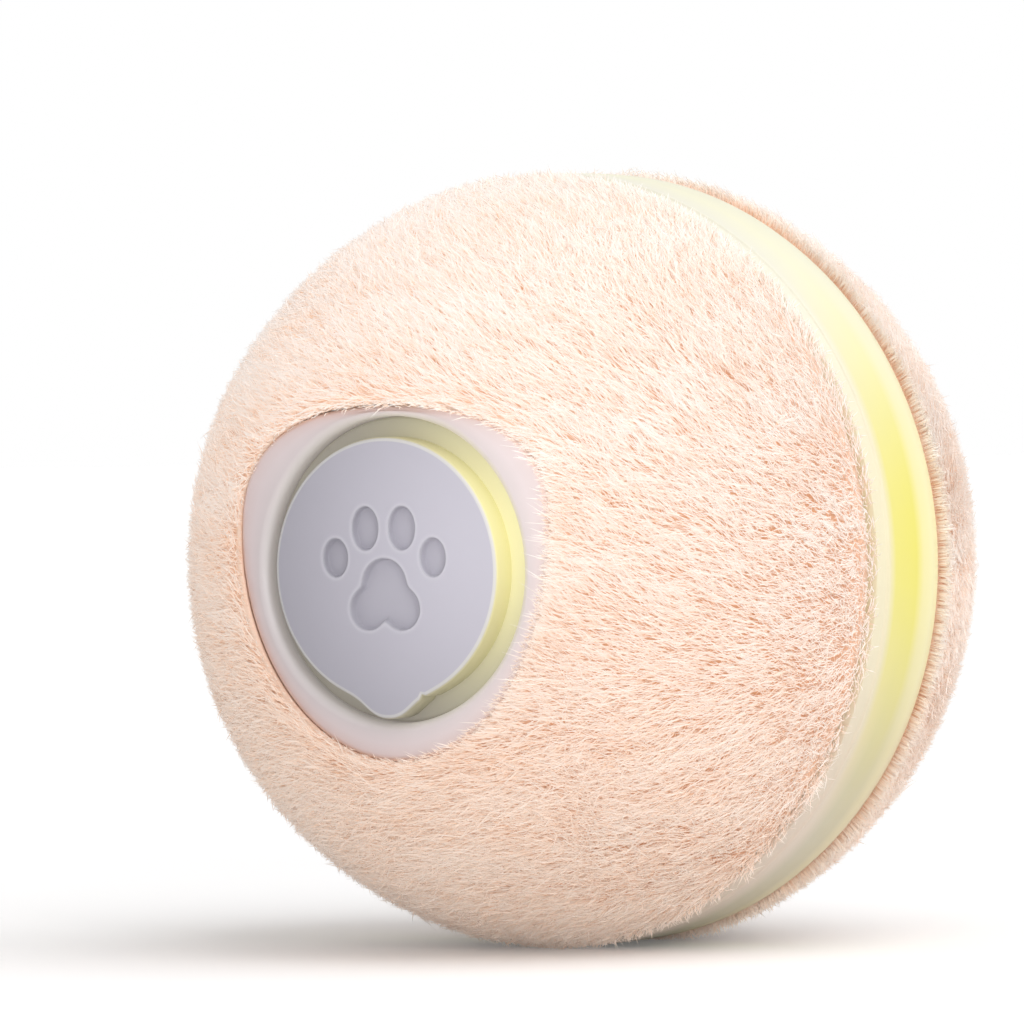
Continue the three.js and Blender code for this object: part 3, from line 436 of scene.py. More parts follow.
def lit_from_inside(tree, shader, factor, dim, glow):
    """Gives the shader a light of its own, which goes from dim to glow with the factor."""
    feed(tree, shader, {"Emission Color": mixed(tree, factor, dim, glow), "Emission Strength": 1.0})


def satin(tree, shader, cloud, roughness, grain=milky_grain):
    """A roughness that follows the cloud, and a relief of fine grain."""
    uneven = spread(tree, cloud, roughness - satin_spread, roughness + satin_spread)
    feed(tree, shader, {"Roughness": uneven})
    bumped(tree, shader, object_noise(tree, grain), satin_relief)


print("glow falls to 0 at its reach")

# %% [markdown]
# ## The grip band
# The band is moulded in milky silicone. Its tread stands a little proud between two shoulders. A lathe
# tool would turn it too, but here its section is a short list of corners, each rounded by its own curve,
# so the lips stay crisp. A mark for the place across it lets shoulders and tread differ in colour, and
# the tread glows most beside its lamp.

# %% Grip band
band_columns = 256
tread_half = 2.36
glow_end = 0.95
tread_crown = 0.03
tread_step = 0.2
step_run = 0.08
shoulder_drop = 0.3
shoulder_run = 0.08
band_lip_drop = 0.6
band_wall = 1.25
lamp_place = (tread_radius, 0.0, 0.8)
lamp_reach = 18
shade_reach = 10
band_glow = (0.05, 0.04, 0.0, 1)
band_roughness = 0.42
# Colours across the band at the top of the ball, at its bottom and beside the lamp: the low set is painted
# shade, the lit set painted lamp light.
band_tones = {
    "high": ((-2.4, (232, 229, 212)), (0.0, (238, 235, 206)), (2.0, (233, 231, 206))),
    "low": (
        (-1.9, (218, 203, 188)),
        (-0.6, (200, 192, 168)),
        (0.9, (200, 191, 162)),
        (1.8, (218, 206, 168)),
        (2.7, (222, 207, 176)),
    ),
    "lit": (
        (-2.4, (228, 220, 192)),
        (-1.7, (226, 218, 120)),
        (0.4, (226, 218, 108)),
        (1.2, (234, 226, 166)),
        (2.4, (236, 230, 184)),
    ),
}

# Each corner of half the section: its radius, its place along Y and its rounding.
half_section = [
    (tread_radius, glow_end, 0.12),
    (tread_radius - tread_crown, tread_half, 0.08),
    (tread_radius - tread_step, tread_half + step_run, 0.1),
    (tread_radius - shoulder_drop, band_half - shoulder_run, 0.05),
    (tread_radius - band_lip_drop, band_half, 0.15),
    (tread_radius - band_wall, band_half, 0.1),
]
other_half = [(radius, -along, rounding) for radius, along, rounding in reversed(half_section)]
band_profile = rounded(half_section + other_half)


def band_colours(tree, name):
    """A colour for each place across the band, from its list of (millimetres along Y, colour)."""
    stops = ((0.5 + along / (2 * band_half), srgb(*tone)) for along, tone in band_tones[name])
    return ramp(tree, attribute(tree, "across"), *stops)


def band_finish():
    """Milky silicone, with painted light and shade: its colour is painted paler at the top of the ball
    than below, as painted shade lower down, and greyer on the shoulders; near the lamp the tread is
    painted yellow, and its far edge a paler yellow, as painted lamp light."""
    material, tree, shader = new_material("glowing band silicone")
    high, low, lit = (band_colours(tree, name) for name in ("high", "low", "lit"))
    near = glow_near(tree, lamp_place, lamp_reach)
    # Painted shade: the colour goes from the low set to the high set over shade_reach below and above the
    # middle, and turns to the lit set near the lamp as painted lamp light.
    up = spread(tree, distance_along(tree, (0, 0, 1)), 0.0, 1.0, -shade_reach * MM, shade_reach * MM)
    cloud = object_noise(tree, cloud_size)
    colour = mixed(tree, near, mixed(tree, up, low, high), lit)
    feed(tree, shader, {"Base Color": clouded(tree, cloud, colour)})
    lit_from_inside(tree, shader, near, no_light, band_glow)
    satin(tree, shader, cloud, band_roughness)
    return material


across_band = 0.5 + band_profile[:, 1:] / (2 * band_half)
band_rings = turned_about_axis(band_profile, band_columns)
across = {"across": across_band}
ring_piece("band_silicone", "grip_band", band_rings, band_finish(), marks=across)

# %% [markdown]
# ## The bezel round the port
# The bezel is a satin moulded ring with a round bore and an egg-shaped outline, which narrows downwards.
# A drawn curve could give that outline, but two halves of a superellipse need only four numbers, and
# they also tell how far any point is from it, which the plush round the bezel needs later.

# %% Bezel outline
bezel_low, bezel_high = span("port_bezel")
bezel_half_width = bezel_high[0]
bezel_widest = 1.75
bezel_top_power = 2.5
bezel_bottom_power = 2.0


def half_shape(above):
    """The power of the egg's half above or below its widest place, and how far it reaches from there."""
    power = np.where(above, bezel_top_power, bezel_bottom_power)
    return power, np.where(above, bezel_high[2] - bezel_widest, bezel_widest - bezel_low[2])


def egg(turn):
    """Points (x, z) of the egg: cosine and sine of the turn, each raised to 2 over the power, times
    the half width and the reach above or below the widest place."""
    c, s = np.cos(turn), np.sin(turn)
    power, reach = half_shape(s > 0)
    x = bezel_half_width * np.sign(c) * np.abs(c) ** (2 / power)
    return np.stack([x, bezel_widest + reach * np.sign(s) * np.abs(s) ** (2 / power)], axis=-1)


def outside_egg(x, z):
    """About how far a point is outside the egg, in millimetres: the superellipse's sum of powers, made
    a ratio of radii, less one, times the distance from the egg's middle."""
    power, reach = half_shape(z > bezel_widest)
    terms = np.abs(x / bezel_half_width) ** power + np.abs((z - bezel_widest) / reach) ** power
    ratio = np.maximum(terms, tiny) ** (1 / power)
    return (ratio - 1) / ratio * np.hypot(x, z - bezel_widest)


print("egg from", np.round(bezel_low[2], 2), "to", np.round(bezel_high[2], 2), "mm high")

# %% [markdown]
# ### The bezel's section
# A bevel could round the ring's rims, but where the ring is thin, at the top, it would cut into itself.
# A section that runs from bore to outline along straight lines, with both roundings kept under a share of
# the ring's width, stays clean all the way round. A mark across the ring lets its colour warm towards the
# fur and cool towards the gap, and there is a lit and a shaded set of these colours, mixed by how far a
# point lies towards the light: painted light and shade.

# %% Bezel
bezel_columns = 256
bore_radius = 8.0
bezel_face_drop = 0.12
bore_rounding = 0.5
rim_rounding = 0.35
rounding_share = 0.46
curve_rows = 9
faded_rows = 5
bore_marks, rim_marks = (0.08, 0.4), (0.7, 0.95)
bezel_face, bezel_foot = bezel_low[1], bezel_high[1]
bezel_places = (0.0, 0.4, 0.55, 0.75, 1.0)
# Colours across the ring on its shaded side and on its lit side: painted shade and painted light.
shaded_side_tones = ((200, 195, 197), (200, 190, 191), (205, 192, 193), (206, 186, 184), (216, 188, 176))
lit_side_tones = ((226, 218, 206), (240, 228, 228), (247, 233, 233), (246, 229, 227), (240, 214, 204))
light_height = math.radians(22)
light_way = (math.cos(light_height), 0.0, math.sin(light_height))
# Painted light: the bore glows a little, though it is no lamp.
bore_glow = (0.15, 0.14, 0.135, 1)
bezel_cloud, bezel_grain = 1.2, 0.1
bezel_roughness = 0.39


def bezel_rings():
    """The section goes up the bore, over a quarter circle, across the face, over another quarter circle
    and down the outer wall. A row lies a share of the way from bore to outline, plus an inset."""
    outline = egg(full_turn(bezel_columns))
    distance = np.linalg.norm(outline, axis=1)
    toward = outline / distance[:, None]
    widest = rounding_share * (distance - bore_radius)
    bore_curve, rim_curve = np.minimum(bore_rounding, widest), np.minimum(rim_rounding, widest)
    quarter = np.linspace(0, math.pi / 2, curve_rows)[:, None]
    rim = bezel_face + bezel_face_drop
    reach = np.vstack(
        [
            0 * bore_curve + bore_radius,
            bore_radius + bore_curve * (1 - np.cos(quarter)),
            distance + rim_curve * (np.sin(quarter) - 1),
            distance,
        ]
    )
    along = np.vstack(
        [
            0 * bore_curve + bezel_foot,
            bezel_face + bore_curve * (1 - np.sin(quarter)),
            rim + rim_curve * (1 - np.cos(quarter)),
            0 * rim_curve + bezel_foot,
        ]
    )
    return np.stack([reach * toward[:, 0], along, reach * toward[:, 1]], axis=-1)


def bezel_marks():
    """The place of each row across the ring: 0 in the bore and 1 on the outer wall. The last rows of one
    rounding and the first rows of the other step between them."""
    half = curve_rows + 1
    rows = np.repeat([0.0, 1.0], half)
    rows[half - faded_rows : half] = np.linspace(*bore_marks, faded_rows)
    rows[half : half + faded_rows] = np.linspace(*rim_marks, faded_rows)
    return {"across": rows[:, None]}


def bezel_colours(tree, tones):
    """A colour for each place across the bezel, from its bore to its outer wall."""
    return ramp(tree, attribute(tree, "across"), *zip(bezel_places, (srgb(*tone) for tone in tones)))


def bezel_finish():
    """Satin milky plastic, painted paler on the side that the light comes from, pinker at the rim beside
    the fur, and given a painted glow in its bore."""
    material, tree, shader = new_material("milky bezel plastic")
    half_width = bezel_half_width * MM
    # Painted light: the ring goes from its shaded colours to its lit ones towards the light.
    painted_light_side = spread(tree, distance_along(tree, light_way), 0.0, 1.0, -half_width, half_width)
    cloud = object_noise(tree, bezel_cloud)
    colour = mixed(tree, painted_light_side, bezel_colours(tree, shaded_side_tones), bezel_colours(tree, lit_side_tones))
    feed(tree, shader, {"Base Color": clouded(tree, cloud, colour)})
    in_bore = spread(tree, attribute(tree, "across"), 1.0, 0.0, 0.0, bezel_places[1])
    lit_from_inside(tree, shader, in_bore, no_light, bore_glow)
    satin(tree, shader, cloud, bezel_roughness, bezel_grain)
    return material


ring_piece("bezel_ring", "port_bezel", bezel_rings(), bezel_finish(), marks=bezel_marks())

# %% [markdown]
# ## The light ring in the gap
# Between bezel and cover lies the rim of a frosted ring that carries the light of three lamps. A strip of
# light could stand for it, but only one side of it glows, so it gets the same kind of finish as the band,
# with a lamp place of its own.

# %% Light ring
ring_low, ring_high = span("port_light_ring")
ring_gap = 0.03
ring_inner, ring_outer = 6.6, bore_radius - ring_gap
ring_front = [(ring_inner, ring_low[1], 0.2), (ring_outer, ring_low[1], 0.2)]
ring_back = [(ring_outer, ring_high[1], 0.1), (ring_inner, ring_high[1], 0.1)]
ring_columns = 160
ring_lamp = (7.2, ring_low[1], 2.0)
ring_reach = 12.5
ring_plain, ring_lit = srgb(156, 151, 139), srgb(186, 180, 122)
# Painted light: the ring glows dim all round, and brighter beside the lamp.
ring_dim, ring_glow = (0.075, 0.07, 0.062, 1), (0.53, 0.505, 0.34, 1)
ring_patches = 0.04
ring_roughness = 0.5


def ring_finish():
    """Milky plastic over a lamp: near the lamp its colour goes from plain to lit, and its own light from
    dim to glow."""
    material, tree, shader = new_material("glowing ring plastic")
    near = glow_near(tree, ring_lamp, ring_reach)
    cloud = object_noise(tree, cloud_size)
    own = mixed(tree, cloud, shade(ring_plain, 1 - ring_patches), shade(ring_plain, 1 + ring_patches))
    feed(tree, shader, {"Base Color": mixed(tree, near, own, ring_lit)})
    lit_from_inside(tree, shader, near, ring_dim, ring_glow)
    satin(tree, shader, cloud, ring_roughness)
    return material


ring_rings = turned_about_axis(rounded(ring_front + ring_back), ring_columns)
ring_piece("light_ring", "port_light_ring", ring_rings, ring_finish())

# %% [markdown]
# ## The soft port cover
# The cover is one silicone moulding: a disc with a pull tab, a sunk paw mark in its face, a boss that
# enters the well and a plug for the socket. A cut with sharp-edged pockets would look machined, so the
# face is a height field on a polar grid: its depth is a smooth function of the distance to the mark.

# %% Cover outline and paw mark
cover_low, cover_high = span("port_cover")
cover_face = cover_low[1]
cover_gap = 0.02
cover_thickness = ring_low[1] - cover_face - cover_gap
cover_radius = cover_high[0]
tab_reach = -cover_low[2] - cover_radius
tab_angle = math.radians(12.5)
tab_power = 2.5
nick_angle = math.radians(-72)
nick_depth = 0.16
nick_half_angle = math.radians(2)
mark_depth = 0.42
mark_edge = 0.07
pad_blend = 0.16
pad_circles = [((0, -0.75), 1.35), ((-1.05, -2.0), 1.1), ((1.05, -2.0), 1.1)]
toe_ellipses = [((-3.04, 0.66), (0.76, 0.99)), ((-1.14, 2.18), (0.8, 1.12))]
toe_ellipses += [((-x, z), size) for (x, z), size in toe_ellipses]


def turn_between(angle, other):
    """The size of the angle between two directions, from 0 to pi."""
    return np.abs((angle - other + math.pi) % (2 * math.pi) - math.pi)


def cover_outline(angle):
    """The distance from the disc's middle to its edge: its radius, plus a bell curve at the bottom for
    the pull tab, less a small notch beside the tab."""
    tab = tab_reach * np.exp(-((turn_between(angle, -math.pi / 2) / tab_angle) ** tab_power))
    notch = nick_depth * np.clip(1 - turn_between(angle, nick_angle) / nick_half_angle, 0, 1)
    return cover_radius + tab - notch


def mark_distance(x, z):
    """Distance to the paw mark, negative inside it. A toe is an ellipse, measured by its scaled radius,
    and the pad is three circles joined by a soft minimum."""
    past = [np.hypot(x - cx, z - cz) - radius for (cx, cz), radius in pad_circles]
    nearest = -pad_blend * np.log(sum(np.exp(-gap / pad_blend) for gap in past))
    for (cx, cz), (a, b) in toe_ellipses:
        scaled = np.hypot((x - cx) / a, (z - cz) / b)
        slope = np.hypot((x - cx) / a**2, (z - cz) / b**2)
        nearest = np.minimum(nearest, scaled * (scaled - 1) / np.maximum(slope, tiny))
    return nearest


def smooth_step(value, low, high):
    """0 below low, 1 above high and a smooth 3s^2 - 2s^3 between them."""
    s = np.clip((value - low) / (high - low), 0, 1)
    return s * s * (3 - 2 * s)


print("cover radius", round(cover_radius, 2), "tab reach", round(tab_reach, 2))

# %% [markdown]
# ### The cover's disc and its finish
# The disc's rim is thin, milky and close to the ring's lamps, so it gets a painted highlight, and its side
# is painted yellow beside the lamp, with a painted glow. Marks on the mesh say where its rim and its side
# are. The rest is painted from a cool grey to a paler one towards the lamp, as painted light, and the paw
# mark gets painted shade on its wall and sunk ground and a painted highlight on its lip.

# %% Cover disc
cover_columns = 360
face_rows = 160
first_share = 0.004
cover_crown = 0.12
edge_rounding = 0.2
edge_turns = np.linspace(0, math.pi, 13)[1:]
back_shares = (0.6, 0.3, 0.02)
lip_width = 0.1
wall_width = 0.07
rim_start = 0.994
side_start, side_end = 0.5, 1.1
face_reach, side_reach = 22, 15
# Painted light: the face, the rim and the side each go from a dark to a lit colour nearer the lamp; the
# rim's colours are a painted highlight.
face_light_tones = srgb(135, 133, 142), srgb(209, 206, 217)
rim_highlight_tones = srgb(208, 207, 200), srgb(246, 245, 228)
side_lamp_tones = srgb(156, 152, 140), srgb(225, 220, 160)
rim_share = 0.48
# Painted shade on the paw mark's sunk ground and wall, and a painted highlight on its lip.
painted_mark_tones = [
    ("ground", 0.16, srgb(120, 118, 128)),
    ("wall", 0.4, srgb(112, 110, 120)),
    ("lip", 0.22, srgb(232, 231, 236)),
]
# Painted light: the side glows beside the lamp, though it is no lamp.
side_glow = (0.14, 0.135, 0.08, 1)
silicone_grain, silicone_relief = 0.12, 0.003
cover_roughness = (0.56, 0.68)


def cover_rings():
    """The face runs from the middle to the start of the edge, sunk by the mark and by a slight crown;
    a quarter circle turns over the edge, another comes back under it, and the back is flat. Marks tell
    the rim of the disc, the wall of the paw mark, the sunk ground inside it and the disc's side."""
    angle = full_turn(cover_columns)
    edge = cover_outline(angle)
    share = np.linspace(first_share, 1, face_rows)[:, None]
    radius = share * (edge - edge_rounding)
    x, z = radius * np.cos(angle), radius * np.sin(angle)
    from_mark = mark_distance(x, z)
    sunk = mark_depth * smooth_step(-from_mark, -mark_edge / 2, mark_edge)
    rows = [np.stack([x, cover_face + cover_crown * share**2 + sunk, z], axis=-1)]
    rim = [np.broadcast_to(smooth_step(share, rim_start, 1), x.shape)]
    wall = np.exp(-((from_mark / wall_width) ** 2))
    lip = np.exp(-(((from_mark - lip_width) / lip_width) ** 2))
    back = cover_face + cover_thickness
    for turn in edge_turns:
        reach = edge - edge_rounding * (1 - math.sin(turn))
        front = turn <= math.pi / 2
        start = cover_face + cover_crown + edge_rounding if front else back - edge_rounding
        rows.append(round_axis(reach, start - edge_rounding * math.cos(turn), angle)[None])
    rows += [round_axis(part * edge, back, angle)[None] for part in back_shares]
    side = np.concatenate([smooth_step(edge_turns, side_start, side_end), np.zeros(len(back_shares))])
    rim.append(np.tile((1 - side)[:, None], (1, cover_columns)))
    hidden = np.zeros((len(side), cover_columns))
    marks = {
        "rim": np.vstack(rim),
        "side": np.append(np.zeros(face_rows), side)[:, None],
        "wall": np.vstack([wall, hidden]),
        "lip": np.vstack([lip, hidden]),
        "ground": np.vstack([sunk / mark_depth, hidden]),
    }
    return np.vstack(rows), marks


def cover_finish():
    """Matte silicone: grey, painted paler towards the lamp, with a painted highlight on the rim, painted
    shade and a painted highlight on the paw mark, and a side painted yellow with a painted glow there.
    """
    material, tree, shader = new_material("port cover silicone")
    near, beside = (glow_near(tree, ring_lamp, reach) for reach in (face_reach, side_reach))
    colour = mixed(tree, near, *face_light_tones)
    for name, share, tone in (*painted_mark_tones, ("rim", rim_share, mixed(tree, beside, *rim_highlight_tones))):
        factor = calculated(tree, "MULTIPLY", attribute(tree, name), share)
        colour = mixed(tree, factor, colour, tone)
    on_side = attribute(tree, "side")
    colour = mixed(tree, on_side, colour, mixed(tree, beside, *side_lamp_tones))
    lit_from_inside(tree, shader, calculated(tree, "MULTIPLY", beside, on_side), no_light, side_glow)
    grain = object_noise(tree, silicone_grain)
    feed(tree, shader, {"Base Color": colour, "Roughness": spread(tree, grain, *cover_roughness)})
    bumped(tree, shader, grain, silicone_relief)
    return material


disc, disc_marks = cover_rings()
ring_piece("cover_disc", "port_cover", disc, cover_finish(), "cover", False, disc_marks)

# %% [markdown]
# ### The boss and the plug
# Behind the disc a round boss fills the well's mouth and a flat plug closes the socket. Both are hidden
# until the cover swings open. They are simple moulded forms, so rings along the Y axis make them at
# once, and two low ribs on the plug are there to seal.

# %% Boss and plug behind the cover
boss_radius = 5.1
boss_height = 0.6
boss_rounding = 0.2
boss_columns = 120
cover_back = cover_face + cover_thickness
plug_width, plug_height = 7.5, 1.8
plug_z = -1.2
plug_end = cover_high[1]
plug_rounding = 0.35
root_depth = 0.2
rib_places = (cover_back + 0.9, plug_end - 1.1)
rib_height, rib_half = 0.12, 0.2
plug_columns, corner_rows = 96, 6
pole_radius = 0.01


def turned_disc(radius, start, end, rounding):
    """The profile of a disc between two places along Y, from its middle to its middle, with one edge
    rounded by a quarter circle."""
    arc = np.linspace(0, math.pi / 2, corner_rows + 1)
    corner = [(radius - rounding * (1 - math.cos(a)), end - rounding * (1 - math.sin(a))) for a in arc]
    return np.array([(pole_radius, start), (radius, start), *corner, (pole_radius, end)])


def plug_rings():
    """Stadium rings along the plug, whose end narrows over a quarter circle; two low ribs swell it where
    it seals the socket's mouth."""
    turn = full_turn(plug_columns)
    arc = np.linspace(0, math.pi / 2, corner_rows)
    stations = [(cover_back - root_depth, 0.0)]
    for rib in rib_places:
        stations += [(rib - rib_half, 0.0), (rib, rib_height), (rib + rib_half, 0.0)]
    ends = ((plug_rounding * (1 - math.sin(a)), plug_rounding * (1 - math.cos(a))) for a in arc)
    stations += [(plug_end - back, -narrower) for back, narrower in ends]
    run = (plug_width - plug_height) / 2
    rings = []
    for along, grow in stations:
        radius = plug_height / 2 + grow
        x = radius * np.cos(turn) + run * np.sign(np.cos(turn))
        rings.append(np.stack([x, 0 * turn + along, plug_z + radius * np.sin(turn)], axis=-1))
    return np.array(rings)


boss_profile = turned_disc(boss_radius, cover_back - root_depth, cover_back + boss_height, boss_rounding)
boss_rings = turned_about_axis(boss_profile, boss_columns)
for name, rings in (("cover_boss", boss_rings), ("cover_plug", plug_rings())):
    ring_piece(name, "port_cover", rings, finishes["silicone"], "cover", closed=False)

# %% [markdown]
# ## Port parts seen when the cover is open
# The well, the key, the socket and the strap already have the right shape as CAD solids. What they lack
# is the small rounding that every moulded or pressed edge has, and the smoothness of a round hole. They
# could be drawn anew, but copies cannot drift from the solids. So each is shown by a copy with its loose
# triangles merged, its flat areas made single faces, its circles cut finer and its edges bevelled.

# %% Softened copies
bevel_angle = math.radians(30)
arc_cuts = 3
arc_limit = 0.6
touching = 0.003 * MM
merging = 0.001 * MM
flat_angle = math.radians(0.5)
bevel_segments = 3


def from_axis(vertex, centre):
    """The distance of a point from a line along Y through the centre (x, z)."""
    return math.hypot(vertex.co.x - centre[0], vertex.co.z - centre[1])


def make_rounder(shape, centre):
    """Cuts every short sharp edge on a circle about the centre into four, and moves each new point out
    onto its circle: it keeps its direction from the centre, and takes the circle's radius."""
    arcs, radii = [], set()
    for edge in shape.edges:
        first, second = (from_axis(vertex, centre) for vertex in edge.verts)
        level = abs(edge.verts[0].co.y - edge.verts[1].co.y) < touching
        short = touching < edge.calc_length() < arc_limit * first
        on_circle = level and short and abs(first - second) < touching
        if on_circle and edge.calc_face_angle(0.0) > bevel_angle:
            arcs.append(edge)
            radii.add(first)
    made = bmesh.ops.subdivide_edges(shape, edges=arcs, cuts=arc_cuts)
    for vertex in (part for part in made["geom_inner"] if isinstance(part, bmesh.types.BMVert)):
        reach = from_axis(vertex, centre)
        grow = min(radius for radius in radii if radius > reach - touching) / reach
        vertex.co.x = centre[0] + (vertex.co.x - centre[0]) * grow
        vertex.co.z = centre[1] + (vertex.co.z - centre[1]) * grow
    return len(arcs)


def softened(name, node, width, slot, body="root", centres=()):
    """A copy of a CAD node with its circles made rounder and its edges rounded, to stand for it."""
    mesh = frame["nodes"][node].data.copy()
    shape = bmesh.new()
    shape.from_mesh(mesh)
    bmesh.ops.remove_doubles(shape, verts=shape.verts, dist=merging)
    bmesh.ops.dissolve_limit(shape, angle_limit=flat_angle, verts=shape.verts, edges=shape.edges)
    arcs = sum(make_rounder(shape, centre) for centre in centres)
    print(name, "arcs made rounder:", arcs)
    for face in shape.faces:
        face.smooth = True
    shape.to_mesh(mesh)
    shape.free()
    mesh.materials.clear()
    mesh.materials.append(finishes[slot])
    piece = add_object(name, mesh)
    bevel = piece.modifiers.new("rounded edges", "BEVEL")
    bevel.width = width * MM
    bevel.segments = bevel_segments
    bevel.limit_method = "ANGLE"
    bevel.angle_limit = bevel_angle
    bevel.harden_normals = True
    join_model(piece, node, body)


flat = [0, 2]
key_box, socket_box = (np.array(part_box(node))[:, flat] for node in ("power_key", "usb_port"))
key_centre, socket_middle = key_box.mean(axis=0), socket_box.mean(axis=0)
socket_run = (socket_box[1] - socket_box[0]) @ (0.5, -0.5)
socket_ends = [socket_middle - (socket_run, 0), socket_middle + (socket_run, 0)]
softened("well_cup", "port_well", 0.12, "well", centres=[middle[flat], key_centre, *socket_ends])
softened("key_button", "power_key", 0.15, "well", "key", [key_centre])
softened("socket_shell", "usb_port", 0.1, "steel", centres=socket_ends)
softened("socket_tongue", "usb_tongue", 0.06, "chip")
softened("cover_strap", "cover_tether", 0.1, "silicone")

# %% [markdown]
# ### The socket's contacts
# A charging socket shows a row of gold contacts on its tongue. They could be painted on, but the view
# into the open port comes close, so each is a small plate, half sunk in the tongue.

# %% Socket contacts
contact_count = 12
contact_pitch = 0.5
contact_half = np.array([0.15, 0.75, 0.03])
contact_setback = 1.0
tongue_face = plug_z + 0.35
tongue_front = span("usb_tongue")[0][1]
contact_material = plain_finish("gold contacts", (226, 188, 98), 0.28, grain=0.05, metal=1.0)


def contact_boxes():
    """Eight corners of each contact: small plates, half sunk in the top face of the tongue."""
    place = (np.arange(contact_count) - (contact_count - 1) / 2) * contact_pitch
    unit = np.array([[x, y, z] for x in (-1, 1) for y in (-1, 1) for z in (-1, 1)], float)
    setback = tongue_front + contact_setback
    offsets = np.stack([place, 0 * place + setback, 0 * place + tongue_face], axis=-1)
    return (offsets[:, None] + unit * contact_half).reshape(-1, 3)


box_faces = np.array([[0, 1, 3, 2], [4, 6, 7, 5], [0, 4, 5, 1], [2, 3, 7, 6], [0, 2, 6, 4], [1, 5, 7, 3]])
first_corners = 8 * np.arange(contact_count)[:, None, None]
contact_faces = (first_corners + box_faces).reshape(-1, 4)
build_mesh(
    "socket_contacts", None, contact_boxes(), [contact_faces], contact_material, smooth=False
)

# %% [markdown]
# ## The plush's backing
# Each half ball wears a knitted backing under its pile. It shows only as dark specks between the hairs,
# but without it one would see the hard shell. Both backings are closed skins. The port's one starts at
# the egg, so its section runs from there to the band along a meridian, and back along the inside.

# %% Backing skins
pile_gap = 0.15
pile_edge = band_half + pile_gap
backing_outer = ball_radius - 0.58
backing_inner = ball_radius - 1.0
backing_columns = 180
backing_rows = 40
edge_fade = 0.07
egg_clearance = 1.003
tuck_lift = 0.22
tuck_fade = 0.035
bare_pole = 0.02
knit_size, knit_relief = 0.3, 0.05
knit_roughness = (0.8, 0.95)


def backing_rings(side):
    """Rings of a skin between two radii. A row's polar angle goes evenly from the start, which is the
    pole or the egg's edge, to the band's edge, on the outside, and back again on the inside. Beside the
    bezel the outside comes up, as cloth does that is tucked in behind a rim."""
    turn = full_turn(backing_columns)
    at_pole = bare_pole * np.stack([np.cos(turn), np.sin(turn)], axis=-1)
    outline = egg(turn) * egg_clearance if side < 0 else at_pole
    reach = np.linalg.norm(outline, axis=1)
    spin = np.arctan2(outline[:, 1], outline[:, 0])
    rings = []
    for skin_radius, order in ((backing_outer, 1), (backing_inner, -1)):
        lift = tuck_lift if side < 0 and order > 0 else 0.0
        end = math.acos((pile_edge + pile_gap) / skin_radius)
        for share in np.linspace(0, 1, backing_rows)[::order]:
            radius = skin_radius + lift * math.exp(-share / tuck_fade)
            start = np.arcsin(reach / radius)
            polar = start + share * (end - start)
            rings.append(round_axis(radius * np.sin(polar), side * radius * np.cos(polar), spin))
    return np.array(rings)


def backing_edges():
    """How near each row of the skin is to its edges: 1 at either end, falling to 0 a few rows away."""
    share = np.linspace(0, 1, backing_rows)
    edge = np.exp(-share / edge_fade) + np.exp(-(1 - share) / edge_fade)
    return {"edge": np.concatenate([edge, edge[::-1]])[:, None]}


def backing_finish():
    """Knit of an orange tone, paler beside the edges, where the light reaches in under the pile."""
    material, tree, shader = new_material("knitted backing")
    loops = object_noise(tree, knit_size)
    knit = mixed(tree, loops, srgb(226, 176, 138), srgb(240, 194, 158))
    faded = mixed(tree, attribute(tree, "edge"), knit, srgb(252, 224, 204))
    feed(tree, shader, {"Base Color": faded, "Roughness": spread(tree, loops, *knit_roughness)})
    bumped(tree, shader, loops, knit_relief)
    return material


knit = backing_finish()
edges = backing_edges()
for half, side in (("port", -1), ("drive", 1)):
    name, node = f"{half}_backing", f"{half}_side_fur"
    ring_piece(name, node, backing_rings(side), knit, closed=side < 0, marks=edges)

# %% [markdown]
# ## The plush's pile
# The pile is what one sees of the ball: low hairs, about one and a half millimetres long, all combed one
# way. Blender's hair would show it too, but the exported model keeps only meshes, so each hair is a thin
# bent spike of five points: a root, a three-sided middle and a tip. A quarter of a million of them are
# quick to make when all are worked out together as arrays.

# %% Where the hairs grow
hair_candidates = 330000
golden_turn = math.pi * (3 - math.sqrt(5))
root_shift = 0.004
egg_margin = 0.03
random = np.random.default_rng(11)


def hair_roots():
    """Directions spread evenly over a sphere: height steps evenly along Y and each next one turns by
    the golden angle. A little random shift hides the spiral, and the band and the egg stay bare."""
    number = np.arange(hair_candidates) + 0.5
    height = 1 - 2 * number / hair_candidates
    ring = np.sqrt(1 - height**2)
    turn = number * golden_turn
    spots = round_axis(ring, height, turn)
    spots += random.normal(0, root_shift, spots.shape)
    spots /= np.linalg.norm(spots, axis=1, keepdims=True)
    place = spots * ball_radius
    on_pile = np.abs(place[:, 1]) > pile_edge
    in_egg = (place[:, 1] < 0) & (outside_egg(place[:, 0], place[:, 2]) < egg_margin)
    return spots[on_pile & ~in_egg]


roots = hair_roots()
print("hairs:", len(roots))

# %% [markdown]
# ### How the hairs lie
# A pile lies the way it was last brushed. Combing all hairs towards one side would leave bald whorls
# where that side is straight ahead. So the pile turns round an axis, like a ball that is rubbed as it
# rolls, and the whorls come to lie at the outline, at the band and under the ball.

# %% How the hairs lie
comb_up, comb_right = np.array(view_up), np.array(view_right)
comb_tilt = math.radians(22)
comb_fan = math.radians(30)
slow_swirl, slow_size, slow_seed = 0.22, 11, 3
quick_swirl, quick_size, quick_seed = 0.16, 2.6, 4
wildness = 0.28
lean_to_band, lean_to_egg = 0.7, 1.5
lean_reach = 0.6


